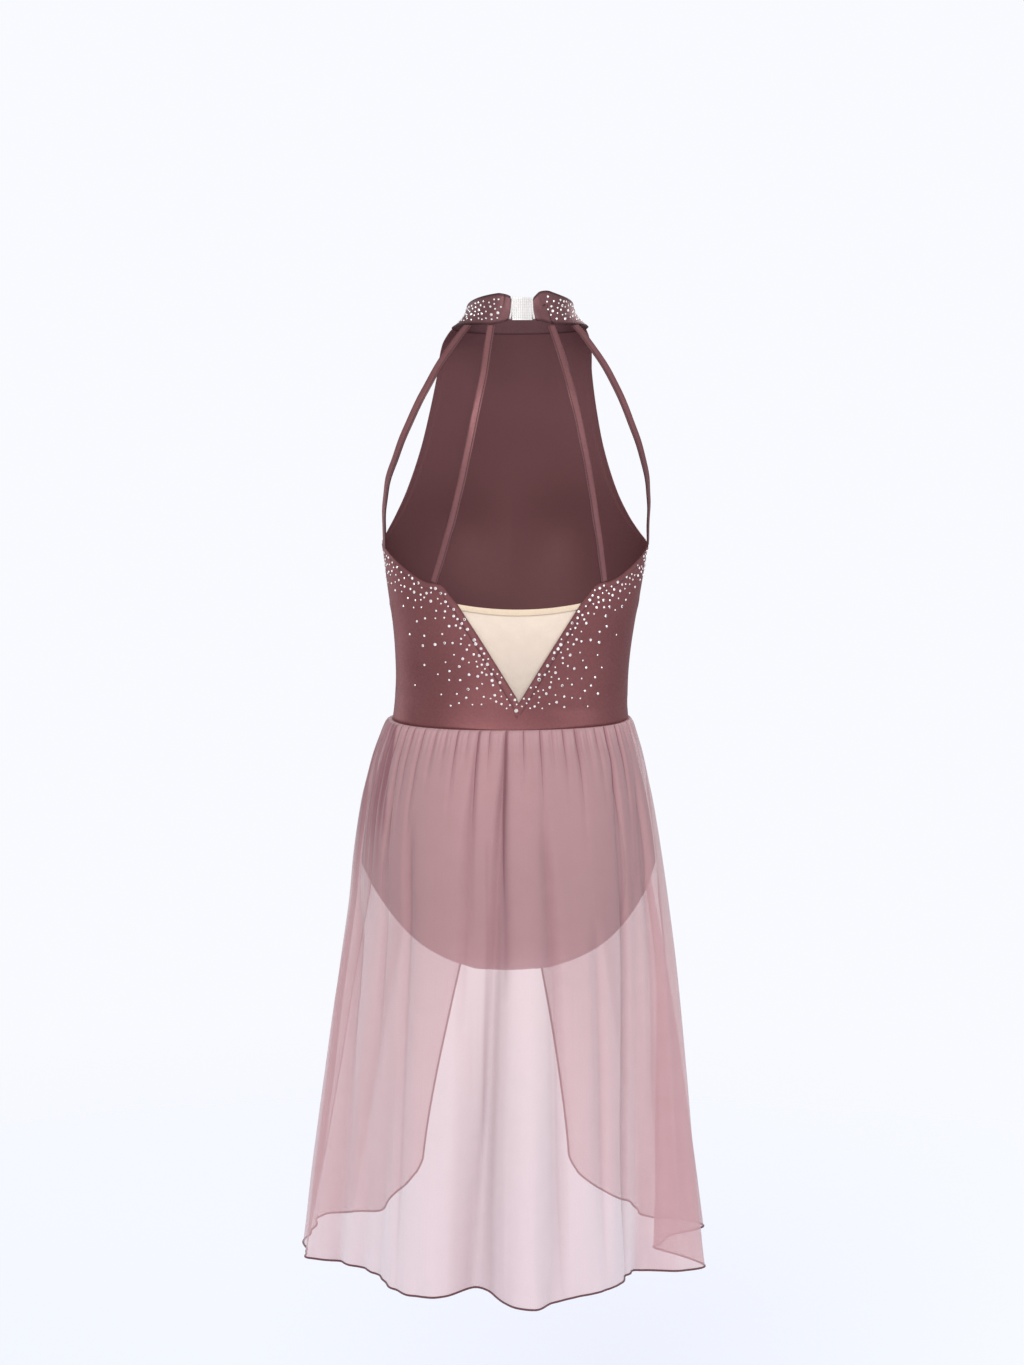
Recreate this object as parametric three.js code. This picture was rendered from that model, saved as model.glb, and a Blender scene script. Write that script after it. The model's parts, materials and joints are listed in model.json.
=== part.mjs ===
// Lyrical dance dress, worn form, hollow. Millimetres, +Z up, the front faces -Y.
// The origin is the centre of the neck opening, half way up the collar.
// Angles run round the dress in degrees: 0 is the centre back, 90 the wearer's
// left side (+X), -90 the right side and 180 the centre front.
import * as THREE from 'three';

// Driving sizes
const SEAM_GAP = 0.3;          // left between pieces that are sewn together
const PANEL_WALL = 1.6;        // stretch cloth of the leotard
const CHIFFON_WALL = 1.2;      // skirt
const MESH_WALL = 1.2;         // see-through insert
const BAND_WALL = 2.0;         // elastic along the top of the insert
const COLLAR_WALL = 2.0;
const STRAP_WALL = 2.0;
const STRAP_WIDTH = 7.5;
const WAIST_Z = -406;          // seam of bodice, brief and skirt
const HEM_Z = -958;            // level hem
const V_TOP_Z = -280.5;        // where the insert starts, at the V's corners
const V_APEX_Z = -378;         // point of the V
const V_CORNER = 29.3;         // degrees from the centre back to a corner
const V_LEAN = -1.2;           // degrees the point leans to the wearer's right
const BAND_HEIGHT = 6;
const BAND_DIP = 5;            // the band hangs lower at the centre back
const COLLAR_TAPER = 16;       // degrees over which the collar narrows to its ends
const COLLAR_END = 13.2;       // degrees from the centre back to the left collar end
const COLLAR_END_RIGHT = 9.6;  // and to the right one, which is folded longer
const CLASP_WIDTH = 19;
const CLASP_X = 1;             // the clasp's middle, a little to the wearer's left
const CLASP_HEIGHT = 22.5;
const CLASP_RIBS = 5;
const OPENING_TOP = 179.1;     // skirt's front edges at the waist, degrees
const OPENING_HEM = 156.5;     // and at the hem
const CORNER_SHARE = 0.12;     // part of each half of the hem that is rounded up
const CORNER_RISE = 58;        // to its front corner
const SECTION_POWER = 2.25;    // how square the body sections are
const HEM_POWER = 2;           // the skirt turns to a plain oval on its way down

// Sections of the leotard: height, centre, half width, depth behind and in front
const BODY = [
  { z: 0, cx: 0, cy: 2, half: 52, back: 56, front: 52 },
  { z: -12, cx: 0, cy: 2, half: 60, back: 60, front: 56 },
  { z: -24, cx: 0, cy: 2, half: 77, back: 66, front: 59.5 },
  { z: -40, cx: 0.3, cy: 1.5, half: 97, back: 72, front: 63 },
  { z: -60, cx: 0.8, cy: 1, half: 118, back: 78, front: 67 },
  { z: -100, cx: 1.6, cy: 0.5, half: 138, back: 88, front: 77 },
  { z: -150, cx: 2.4, cy: 0, half: 141, back: 93, front: 90 },
  { z: -200, cx: 3.2, cy: 0, half: 138, back: 91, front: 99 },
  { z: -230, cx: 3.6, cy: 0, half: 132.6, back: 88, front: 101 },
  { z: -270, cx: 4.4, cy: 0, half: 127, back: 84, front: 98 },
  { z: -310, cx: 5.2, cy: 0, half: 120.8, back: 82.5, front: 90 },
  { z: -340, cx: 6.2, cy: 0, half: 117.6, back: 82, front: 84 },
  { z: -370, cx: 7.1, cy: 0, half: 116.4, back: 82.3, front: 80 },
  { z: -406, cx: 8.5, cy: 0, half: 118.6, back: 84.3, front: 80 },
  { z: -440, cx: 9.5, cy: 0, half: 127, back: 92, front: 84 },
  { z: -480, cx: 10.5, cy: 0, half: 138, back: 101, front: 88 },
  { z: -520, cx: 10.5, cy: 0, half: 145, back: 107, front: 90 },
  { z: -555, cx: 10.5, cy: 0, half: 149, back: 109, front: 89 },
  { z: -590, cx: 10.5, cy: 0, half: 150, back: 106, front: 85 },
  { z: -620, cx: 10.5, cy: 0, half: 149, back: 97, front: 78 },
  { z: -660, cx: 10.5, cy: 0, half: 146, back: 84, front: 66 },
];

// Bust cups, moved out of the front sections
const CUP = { x: 58, z: -232, wide: 44, high: 50, out: 13 };

// Collar: share of its height from the seam, half width, depth behind and in front
const COLLAR = [
  { up: 0, half: 67, back: 62, front: 58 },
  { up: 0.22, half: 60.8, back: 60.8, front: 56.2 },
  { up: 0.5, half: 55.3, back: 59, front: 54 },
  { up: 1, half: 51.3, back: 56.5, front: 51 },
];

// Upper edge of the back bodice from a corner of the V to the side: angle, height
const BACK_EDGE = [
  { at: 29.3, z: -280.5 },
  { at: 32.5, z: -273 },
  { at: 36, z: -264 },
  { at: 39.5, z: -261.3 },
  { at: 44, z: -260.6 },
  { at: 50, z: -256.5 },
  { at: 56, z: -250.5 },
  { at: 63, z: -243.8 },
  { at: 71, z: -236.8 },
  { at: 80, z: -230.5 },
  { at: 90, z: -228 },
];

// Armhole of the front bodice: height, half width of the cloth there
const ARMHOLE = [
  { z: -8, x: 60 },
  { z: -16, x: 67.5 },
  { z: -24, x: 72 },
  { z: -40, x: 76 },
  { z: -60, x: 78 },
  { z: -100, x: 85 },
  { z: -140, x: 94 },
  { z: -180, x: 107 },
  { z: -205, x: 118.5 },
  { z: -220, x: 127.5 },
  { z: -228, x: 133.1 },
];

// Strap centre lines, wearer's left: height, x from the middle, y, middle
const OUTER_STRAP = [
  { z: -10.8, x: 51.6, y: 46, mid: 0.8 },
  { z: -16, x: 56.2, y: 51, mid: 0.7 },
  { z: -21, x: 60.3, y: 55, mid: 0.9 },
  { z: -44, x: 77.3, y: 67, mid: 1.6 },
  { z: -67, x: 90.8, y: 75, mid: 2.2 },
  { z: -82, x: 98.5, y: 78, mid: 2.9 },
  { z: -113, x: 111.8, y: 76, mid: 3.8 },
  { z: -137, x: 120.2, y: 69, mid: 4 },
  { z: -161, x: 127.1, y: 56, mid: 4.6 },
  { z: -182, x: 130.1, y: 42, mid: 4.4 },
  { z: -203, x: 131.2, y: 30, mid: 4.4 },
];
const INNER_STRAP = [
  { z: -10.6, x: 29.2, y: 60, mid: 1.8 },
  { z: -36, x: 35.4, y: 73, mid: 0.1 },
  { z: -58, x: 40, y: 83, mid: -0.9 },
  { z: -81, x: 45.7, y: 91, mid: -1.1 },
  { z: -120, x: 54.4, y: 95, mid: -1.2 },
  { z: -158, x: 62.2, y: 91.5, mid: -1 },
  { z: -198, x: 69.9, y: 84, mid: 0.2 },
  { z: -232, x: 77, y: 76.5, mid: 2 },
];
const OUTER_STRAP_END = 80;    // degrees, where it meets the bodice edge
const INNER_STRAP_END = 40.2;

// Brief, from the leg opening down and under: height, depth at the middle,
// half width of the cloth, half width of the section
const BRIEF_BACK = [
  { z: -566, y: 108.6, w: 138.5, half: 149.5 },
  { z: -579, y: 107.4, w: 129, half: 149.8 },
  { z: -593, y: 105, w: 118, half: 150 },
  { z: -608, y: 101.5, w: 104, half: 150 },
  { z: -622, y: 96.4, w: 87, half: 149 },
  { z: -635, y: 88, w: 65, half: 148 },
  { z: -646, y: 74, w: 43, half: 146 },
  { z: -653, y: 52, w: 33, half: 146 },
  { z: -656.5, y: 26, w: 30, half: 146 },
  { z: -657.5, y: 0.15, w: 30, half: 146 },
];
const BRIEF_FRONT = [
  { z: -566, y: 88.3, w: 131, half: 149.5 },
  { z: -580, y: 86.4, w: 112, half: 149.8 },
  { z: -596, y: 84, w: 88, half: 150 },
  { z: -613, y: 79.6, w: 65, half: 150 },
  { z: -630, y: 72, w: 47, half: 149 },
  { z: -644, y: 59, w: 36, half: 148 },
  { z: -653, y: 38, w: 31, half: 146 },
  { z: -657.5, y: 0.15, w: 30, half: 146 },
];
const LEG_TOP_Z = -552;

// Skirt sections, folds left out
const SKIRT = [
  { z: -406, cx: 9.5, half: 123.4, back: 89.2, front: 85 },
  { z: -411, cx: 9.8, half: 126, back: 91.8, front: 87.5 },
  { z: -418, cx: 10.1, half: 128.8, back: 95, front: 90 },
  { z: -438, cx: 10.6, half: 136.2, back: 103, front: 97 },
  { z: -459, cx: 11, half: 141.8, back: 109, front: 101 },
  { z: -490, cx: 11.6, half: 148.8, back: 116, front: 106 },
  { z: -541, cx: 11.4, half: 157, back: 125, front: 112 },
  { z: -593, cx: 10, half: 163.5, back: 131, front: 120 },
  { z: -645, cx: 10.2, half: 171, back: 137, front: 130 },
  { z: -698, cx: 11.2, half: 178, back: 143, front: 140 },
  { z: -761, cx: 12.2, half: 185, back: 149, front: 151 },
  { z: -824, cx: 13.6, half: 192, back: 154, front: 163 },
  { z: -888, cx: 14.6, half: 199.5, back: 160, front: 175 },
  { z: -958, cx: 15.2, half: 206.5, back: 165, front: 188 },
];

// Large folds: angle round the cloth, how far the hem stands out of its section
const FOLDS = [
  { at: -180, out: -2 },
  { at: -171, out: 4 },
  { at: -158, out: 3 },
  { at: -144, out: -20 },
  { at: -130, out: 4 },
  { at: -119, out: 15 },
  { at: -111, out: -30 },
  { at: -102, out: -44 },
  { at: -93, out: -48 },
  { at: -84.5, out: -20 },
  { at: -76, out: 13 },
  { at: -68, out: 0 },
  { at: -61.5, out: -22 },
  { at: -54, out: -40 },
  { at: -38.5, out: -10 },
  { at: -29, out: 4 },
  { at: -20, out: 3 },
  { at: -12, out: 11 },
  { at: -4.5, out: 30 },
  { at: 3, out: 12 },
  { at: 8.5, out: -22 },
  { at: 14, out: -29 },
  { at: 22, out: -8 },
  { at: 33, out: -1 },
  { at: 41, out: -8 },
  { at: 55, out: -30 },
  { at: 70, out: -34 },
  { at: 81, out: -26 },
  { at: 92, out: -4 },
  { at: 104, out: 1 },
  { at: 116, out: 2 },
  { at: 129, out: 6 },
  { at: 141, out: 16 },
  { at: 151, out: -2 },
  { at: 161, out: -16 },
  { at: 171, out: 2 },
  { at: 180, out: -4 },
];

// Middle folds: angle at the waist and at the hem, half width in degrees at the
// hem, depth, and the share of the length where each starts and ends
const CREASES = [
  { top: 4.2, hem: 11.5, wide: 3.2, deep: 8, from: 0.0, to: 1.0 },
  { top: 17, hem: 22, wide: 3.2, deep: 5, from: 0.02, to: 0.62 },
  { top: 44, hem: 41, wide: 3.4, deep: 6, from: 0.12, to: 1.1 },
  { top: 58, hem: 60, wide: 3, deep: 5, from: 0.05, to: 0.7 },
  { top: 84, hem: 79, wide: 3.6, deep: 7, from: 0.02, to: 0.75 },
  { top: -11, hem: -15, wide: 3.2, deep: 6, from: 0.1, to: 1.1 },
  { top: -29, hem: -31, wide: 3, deep: 5, from: 0.3, to: 1.1 },
  { top: -47, hem: -46, wide: 3.2, deep: 8, from: 0.04, to: 1.1 },
  { top: -63, hem: -62, wide: 3.2, deep: 6, from: 0.05, to: 0.9 },
  { top: -84, hem: -81, wide: 3.4, deep: 6, from: 0.05, to: 1.1 },
  { top: -114, hem: -113, wide: 3.4, deep: 7, from: 0.04, to: 1.1 },
  { top: -149, hem: -147, wide: 3.2, deep: 6, from: 0.06, to: 0.9 },
  { top: 100, hem: 100, wide: 3.2, deep: 7, from: 0.05, to: 1.1 },
  { top: 121, hem: 122, wide: 3.4, deep: 8, from: 0.04, to: 1.1 },
  { top: 148, hem: 150, wide: 3.4, deep: 6, from: 0.05, to: 1.1 },
];

// Gathers of the back at the waist seam: angle, depth, length down the skirt
const GATHERS = [
  { at: 84.5, deep: 4.6, run: 150 },
  { at: 77.5, deep: 3.6, run: 60 },
  { at: 71.5, deep: 4.8, run: 90 },
  { at: 64, deep: 3.4, run: 50 },
  { at: 58, deep: 5.2, run: 110 },
  { at: 50.5, deep: 4.2, run: 80 },
  { at: 44, deep: 3.6, run: 140 },
  { at: 38.2, deep: 4.6, run: 70 },
  { at: 32.4, deep: 3.2, run: 55 },
  { at: 26.8, deep: 4.8, run: 100 },
  { at: 21.4, deep: 3.4, run: 50 },
  { at: 16.6, deep: 5.6, run: 150 },
  { at: 11.4, deep: 4.2, run: 70 },
  { at: 4.2, deep: 6, run: 260 },
  { at: -3.8, deep: 4.4, run: 80 },
  { at: -11.4, deep: 4.8, run: 120 },
  { at: -17, deep: 3.4, run: 60 },
  { at: -22.4, deep: 4.4, run: 70 },
  { at: -28.8, deep: 5, run: 130 },
  { at: -35, deep: 3.4, run: 60 },
  { at: -40.4, deep: 4.2, run: 80 },
  { at: -47.2, deep: 5.4, run: 170 },
  { at: -55.8, deep: 5.6, run: 120 },
  { at: -63, deep: 3.6, run: 60 },
  { at: -70, deep: 4.8, run: 100 },
  { at: -79, deep: 3.8, run: 80 },
];
const FRONT_GATHERS = 27;      // gathers between the side and side over the front
const GATHER_WIDTH = 1.25;     // degrees, at the seam

// Materials
const material = (color, roughness, metalness) =>
  new THREE.MeshStandardMaterial({ color, roughness, metalness });
const SPANDEX = material(0x87595b, 0.38, 0.35);
const STRAP_CLOTH = material(0x9e8083, 0.45, 0.2);
const CHIFFON = material(0xcba8ae, 0.85, 0);
const POWER_MESH = material(0xeedecf, 0.8, 0);
const ELASTIC = material(0xf4e2cc, 0.75, 0);
const CLEAR_PLASTIC = material(0xdfe3e6, 0.12, 0);

const radians = (degrees) => degrees * Math.PI / 180;
const clamp01 = (v) => Math.min(1, Math.max(0, v));
const ease = (v) => clamp01(v) ** 2 * (3 - 2 * clamp01(v));
const mix = (a, b, k) => a + (b - a) * k;
const mix3 = (p, q, k) => [mix(p[0], q[0], k), mix(p[1], q[1], k), mix(p[2], q[2], k)];
const signedPower = (v, power) => Math.sign(v) * Math.abs(v) ** power;

// Smooth reading of a column of a table at a value of its key column
function read(table, key, column, value) {
  const rising = table[table.length - 1][key] > table[0][key];
  const at = (i) => table[Math.min(table.length - 1, Math.max(0, i))];
  const before = (i) => (rising ? at(i)[key] <= value : at(i)[key] >= value);
  let i = 0;
  while (i < table.length - 2 && before(i + 1)) {
    i += 1;
  }
  const span = at(i + 1)[key] - at(i)[key];
  const k = clamp01((value - at(i)[key]) / span);
  const slope = (j) => {
    const width = at(j + 1)[key] - at(j - 1)[key];
    return width === 0 ? 0 : (at(j + 1)[column] - at(j - 1)[column]) / width * span;
  };
  const a = at(i)[column];
  const b = at(i + 1)[column];
  const h = k * k * (3 - 2 * k);
  return mix(a, b, h) + slope(i) * k * (1 - k) ** 2 - slope(i + 1) * k * k * (1 - k);
}

// Point of an oval section with its own depths behind and in front
function oval(section, degrees, z, out = 0) {
  const s = Math.sin(radians(degrees));
  const depth = Math.cos(radians(degrees)) >= 0 ? section.back : section.front;
  const power = section.power ?? SECTION_POWER;
  const fall = Math.max(0, 1 - Math.abs(s) ** power) ** (1 / power);
  const side = Math.cos(radians(degrees)) >= 0 ? 1 : -1;
  const nx = signedPower(s, power - 1) / section.half;
  const ny = side * fall ** (power - 1) / depth;
  const length = Math.hypot(nx, ny);
  return [
    section.cx + section.half * s + out * nx / length,
    section.cy + side * depth * fall + out * ny / length,
    z,
  ];
}

// Point of the leotard's surface at a height and angle
function body(z, degrees, out = 0) {
  const section = {};
  for (const column of ['cx', 'cy', 'half', 'back', 'front']) {
    section[column] = read(BODY, 'z', column, z);
  }
  const p = oval(section, degrees, z, out);
  if (p[1] < section.cy) {
    const x = (Math.abs(p[0] - section.cx) - CUP.x) / CUP.wide;
    p[1] -= CUP.out * Math.exp(-x * x - ((z - CUP.z) / CUP.high) ** 2);
  }
  return p;
}

// Closed wall on a grid of middle points, rows of equal length
function wall(grid, thickness) {
  const rows = grid.length;
  const columns = grid[0].length;
  const points = [];
  const faces = [];
  const vector = (p) => new THREE.Vector3(p[0], p[1], p[2]);
  for (const side of [0.5, -0.5]) {
    for (let i = 0; i < rows; i += 1) {
      for (let j = 0; j < columns; j += 1) {
        const down = vector(grid[Math.min(rows - 1, i + 1)][j]);
        down.sub(vector(grid[Math.max(0, i - 1)][j]));
        const along = vector(grid[i][Math.min(columns - 1, j + 1)]);
        along.sub(vector(grid[i][Math.max(0, j - 1)]));
        const normal = along.cross(down).normalize();
        const p = vector(grid[i][j]).addScaledVector(normal, side * thickness);
        points.push(p);
      }
    }
  }
  const outer = (i, j) => i * columns + j;
  const inner = (i, j) => rows * columns + i * columns + j;
  const quad = (a, b, c, d) => faces.push([a, b, c], [a, c, d]);
  for (let i = 0; i < rows - 1; i += 1) {
    for (let j = 0; j < columns - 1; j += 1) {
      quad(outer(i, j), outer(i, j + 1), outer(i + 1, j + 1), outer(i + 1, j));
      quad(inner(i, j), inner(i + 1, j), inner(i + 1, j + 1), inner(i, j + 1));
    }
    quad(outer(i, 0), outer(i + 1, 0), inner(i + 1, 0), inner(i, 0));
    const last = columns - 1;
    quad(outer(i, last), inner(i, last), inner(i + 1, last), outer(i + 1, last));
  }
  for (let j = 0; j < columns - 1; j += 1) {
    quad(outer(0, j), inner(0, j), inner(0, j + 1), outer(0, j + 1));
    const end = rows - 1;
    quad(outer(end, j), outer(end, j + 1), inner(end, j + 1), inner(end, j));
  }
  return solid(points, faces);
}

// Geometry from points and faces, turned so that its faces point out
function solid(points, faces) {
  let volume = 0;
  for (const [a, b, c] of faces) {
    volume += points[a].dot(points[b].clone().cross(points[c]));
  }
  const geometry = new THREE.BufferGeometry();
  const flat = points.flatMap((p) => [p.x, p.y, p.z]);
  geometry.setAttribute('position', new THREE.Float32BufferAttribute(flat, 3));
  geometry.setIndex(faces.flatMap((f) => (volume < 0 ? [f[0], f[2], f[1]] : f)));
  geometry.computeVertexNormals();
  return geometry;
}

const group = new THREE.Group();
group.name = 'lyrical_dance_dress';

function add(name, geometry, finish) {
  const mesh = new THREE.Mesh(geometry, finish);
  mesh.name = name;
  group.add(mesh);
}

// Evenly spaced values from one end to the other
const steps = (from, to, count) =>
  Array.from({ length: count + 1 }, (_, i) => mix(from, to, i / count));

// Collar: one band from clasp round the front to clasp, leaning down in front
function collarPoint(up, degrees, out = 0) {
  const section = { cx: -0.8, cy: 2 };
  for (const column of ['half', 'back', 'front']) {
    section[column] = read(COLLAR, 'up', column, up);
  }
  const p = oval(section, degrees, 0, out);
  const behind = clamp01(Math.cos(radians(degrees)));
  const ahead = clamp01(-Math.cos(radians(degrees)));
  const fromBack = degrees > 180 ? 360 - degrees : Math.abs(degrees);
  const near = clamp01(1 - (fromBack - COLLAR_END) / COLLAR_TAPER) ** 1.6;
  const low = -14.4 + 4.8 * Math.min(1, behind * 2) - 7.4 * ahead + 3.8 * near;
  const top = 7.6 + 14.6 * behind - 5 * ahead - 4.6 * near;
  p[2] = mix(low, top, up);
  return p;
}
const collarRows = [1, 0.55, 0.22, 0];
const collarAngles = steps(COLLAR_END, 360 - COLLAR_END_RIGHT, 48);
const collarGrid = collarRows.map((up) => collarAngles.map((a) => collarPoint(up, a)));
add('collar', wall(collarGrid, COLLAR_WALL), SPANDEX);

// Clasp: a ribbed clear plate between the collar ends
function claspGeometry() {
  const half = CLASP_WIDTH / 2;
  const shape = [];
  const columns = CLASP_RIBS * 4;
  for (let i = 0; i <= columns; i += 1) {
    const x = mix(half, -half, i / columns);
    const rib = 0.45 * Math.cos(2 * Math.PI * CLASP_RIBS * i / columns);
    const curve = -0.0105 * x * x;
    shape.push({ x, back: curve + 1.55 - rib, front: curve - 1.55 });
  }
  const levels = [CLASP_HEIGHT / 2, 0, -CLASP_HEIGHT / 2];
  const points = [];
  const faces = [];
  for (const up of levels) {
    const lower = 1 + 0.05 * clamp01(-up / levels[0]);
    for (const row of shape) {
      for (const depth of [row.back, row.front]) {
        const middle = collarPoint(0.5 + up / 23.5, 0);
        const x = CLASP_X + row.x * lower;
        points.push(new THREE.Vector3(x, middle[1] + depth, middle[2]));
      }
    }
  }
  const at = (level, i, side) => level * shape.length * 2 + i * 2 + side;
  const quad = (a, b, c, d) => faces.push([a, b, c], [a, c, d]);
  for (let level = 0; level < levels.length - 1; level += 1) {
    for (let i = 0; i < columns; i += 1) {
      quad(at(level, i, 0), at(level, i + 1, 0), at(level + 1, i + 1, 0), at(level + 1, i, 0));
      quad(at(level, i, 1), at(level + 1, i, 1), at(level + 1, i + 1, 1), at(level, i + 1, 1));
    }
    for (const i of [0, columns]) {
      const loop = [at(level, i, 0), at(level + 1, i, 0), at(level + 1, i, 1), at(level, i, 1)];
      quad(...(i === 0 ? loop : loop.reverse()));
    }
  }
  for (const level of [0, levels.length - 1]) {
    for (let i = 0; i < columns; i += 1) {
      const loop = [at(level, i, 0), at(level, i, 1), at(level, i + 1, 1), at(level, i + 1, 0)];
      quad(...(level === 0 ? loop : loop.reverse()));
    }
  }
  return solid(points, faces);
}
add('back_clasp', claspGeometry(), CLEAR_PLASTIC);

// Straps: flat bands that follow a line of points, turned to face outward
function strapGeometry(line) {
  const points = [];
  const faces = [];
  const n = line.length;
  for (let i = 0; i < n; i += 1) {
    const here = new THREE.Vector3(...line[i].point);
    const next = new THREE.Vector3(...line[Math.min(n - 1, i + 1)].point);
    const last = new THREE.Vector3(...line[Math.max(0, i - 1)].point);
    const along = next.sub(last).normalize();
    const out = new THREE.Vector3(...line[i].out);
    out.addScaledVector(along, -out.dot(along)).normalize();
    const across = along.clone().cross(out).normalize();
    for (const [s, o] of [[-1, -1], [1, -1], [1, 1], [-1, 1]]) {
      const p = here.clone().addScaledVector(across, s * STRAP_WIDTH / 2);
      p.addScaledVector(out, o * STRAP_WALL / 2);
      if (i === 0) {
        // The upper end is cut level, to follow the collar's seam
        p.addScaledVector(along, (here.z - p.z) / along.z);
      }
      points.push(p);
    }
  }
  for (let i = 0; i < n - 1; i += 1) {
    for (let k = 0; k < 4; k += 1) {
      const a = i * 4 + k;
      const b = i * 4 + (k + 1) % 4;
      faces.push([a, b, b + 4], [a, b + 4, a + 4]);
    }
  }
  const end = (n - 1) * 4;
  faces.push([0, 2, 1], [0, 3, 2]);
  faces.push([end, end + 1, end + 2], [end, end + 2, end + 3]);
  return solid(points, faces);
}

// Height of the back bodice's upper edge at an angle
function backEdge(degrees) {
  const a = Math.abs(degrees);
  if (a >= V_CORNER) {
    return read(BACK_EDGE, 'at', 'z', a);
  }
  const side = Math.sign(degrees) || 1;
  const reach = (a - side * V_LEAN) / (V_CORNER - side * V_LEAN);
  return mix(V_APEX_Z, V_TOP_Z, clamp01(reach));
}

// Refined line through a strap's rows, to its end on the bodice edge
function strapLine(table, side, endAngle) {
  const rows = [...table];
  const edgeZ = backEdge(side * endAngle) + SEAM_GAP + 0.6;
  const end = body(edgeZ, side * endAngle, 0.4);
  const mid = read(BODY, 'z', 'cx', edgeZ);
  rows.push({ z: edgeZ, x: Math.abs(end[0] - mid), y: end[1], mid });
  const line = [];
  const top = rows[0].z;
  for (const z of steps(top, edgeZ, 15)) {
    const x = read(rows, 'z', 'x', z);
    const y = read(rows, 'z', 'y', z);
    const middle = read(rows, 'z', 'mid', z);
    line.push({ point: [middle + side * x, y, z], out: [side * x / 1.7, y * 1.15, 10] });
  }
  return line;
}
for (const [name, side] of [['left', 1], ['right', -1]]) {
  const outer = strapLine(OUTER_STRAP, side, OUTER_STRAP_END);
  const inner = strapLine(INNER_STRAP, side, INNER_STRAP_END);
  add(`outer_strap_${name}`, strapGeometry(outer), STRAP_CLOTH);
  add(`inner_strap_${name}`, strapGeometry(inner), STRAP_CLOTH);
}

// Front bodice: from the collar over the cups to the waist, cut in at the armholes
const FRONT_ROWS = [0, 0.016, 0.045, 0.1, 0.19, 0.3, 0.4, 0.48, 0.545, 0.61, 0.7, 0.83, 1];
const FRONT_COLUMNS = 30;
function frontPoint(across, down) {
  const waist = WAIST_Z + SEAM_GAP;
  const topAngle = 180 - across * 84;
  const top = collarPoint(0, topAngle);
  top[2] -= SEAM_GAP + 0.4;
  const z = mix(top[2], waist, down);
  const half = read(BODY, 'z', 'half', z);
  const cut = Math.min(1, read(ARMHOLE, 'z', 'x', z) / half);
  const reach = z <= -228 ? 90 : Math.asin(cut) * 180 / Math.PI;
  const edge = 90 - SEAM_GAP * 0.22;
  const angle = 180 - across * Math.min(reach, edge);
  return mix3(top, body(z, angle), ease(down / 0.045));
}
const frontGrid = FRONT_ROWS.map((down) =>
  steps(-1, 1, FRONT_COLUMNS).map((across) => frontPoint(across, down)));
add('front_bodice', wall(frontGrid, PANEL_WALL), SPANDEX);

// Back bodice: low back with the V cut out of it
const sideAngle = 90 - SEAM_GAP * 0.22;
const quarter = [V_CORNER, 32.5, 36, 40, 45, 50, 56, 62, 68, 74, 80, 85, sideAngle];
const vAngles = [V_LEAN, 5, 10, 15, 20, 25];
const vMirror = [-25, -20, -15, -10, -5];
const backAngles = [...quarter.map((a) => -a).reverse(), ...vMirror, ...vAngles, ...quarter];
const backRows = steps(0, 1, 6).map((down) => backAngles.map((a) => {
  const z = mix(backEdge(a), WAIST_Z + SEAM_GAP, down);
  return body(z, a);
}));
add('back_bodice', wall(backRows, PANEL_WALL), SPANDEX);

// Angle of the V's edge at a height
function vReach(z, side) {
  const k = clamp01((z - V_APEX_Z) / (V_TOP_Z - V_APEX_Z));
  return mix(V_LEAN, side * V_CORNER, k);
}

// Upper line of the elastic across the V
const bandTop = (share) => V_TOP_Z - 0.6 - BAND_DIP * (1 - share * share);

// Insert: see-through mesh that fills the V under its elastic
function insertGrid(rowCount, columnCount) {
  const bottom = V_APEX_Z + 5;
  return steps(0, 1, rowCount).map((down) => steps(-1, 1, columnCount).map((share) => {
    const top = bandTop(share) - BAND_HEIGHT - SEAM_GAP;
    const z = mix(top, bottom, down);
    const inset = 0.36;
    const left = vReach(z, -1) + inset;
    const right = vReach(z, 1) - inset;
    return body(z, mix(left, right, (share + 1) / 2));
  }));
}
add('mesh_insert', wall(insertGrid(9, 14), MESH_WALL), POWER_MESH);
const bandGrid = [0, 1].map((down) => steps(-1, 1, 26).map((share) => {
  const z = bandTop(share) - BAND_HEIGHT * down;
  const inset = 0.4;
  const left = vReach(z, -1) + inset;
  const right = vReach(z, 1) - inset;
  return body(z, mix(left, right, (share + 1) / 2), 0.2);
}));
add('insert_elastic', wall(bandGrid, BAND_WALL), ELASTIC);

// Brief: back and front panels that meet at the sides and under the body
function briefGrid(table, side, columnCount) {
  const rows = [];
  const shares = steps(-1, 1, columnCount);
  const top = WAIST_Z - SEAM_GAP;
  for (const z of [top, -430, -465, -505, LEG_TOP_Z]) {
    const reach = 90 - SEAM_GAP * 0.2;
    rows.push(shares.map((share) => body(z, side > 0 ? share * reach : 180 - share * reach)));
  }
  for (const row of table) {
    const cx = read(BODY, 'z', 'cx', row.z);
    rows.push(shares.map((share) => {
      const x = row.w * Math.sin(share * Math.PI / 2);
      const fall = (1 - Math.abs(x / row.half) ** SECTION_POWER) ** (1 / SECTION_POWER);
      const lift = 5 * (x / row.w) ** 2 * clamp01((60 - row.y) / 60);
      return [cx + x, side * row.y * fall, row.z + lift];
    }));
  }
  return rows;
}
add('brief_back', wall(briefGrid(BRIEF_BACK, 1, 22), PANEL_WALL), SPANDEX);
add('brief_front', wall(briefGrid(BRIEF_FRONT, -1, 20), PANEL_WALL), SPANDEX);

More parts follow.
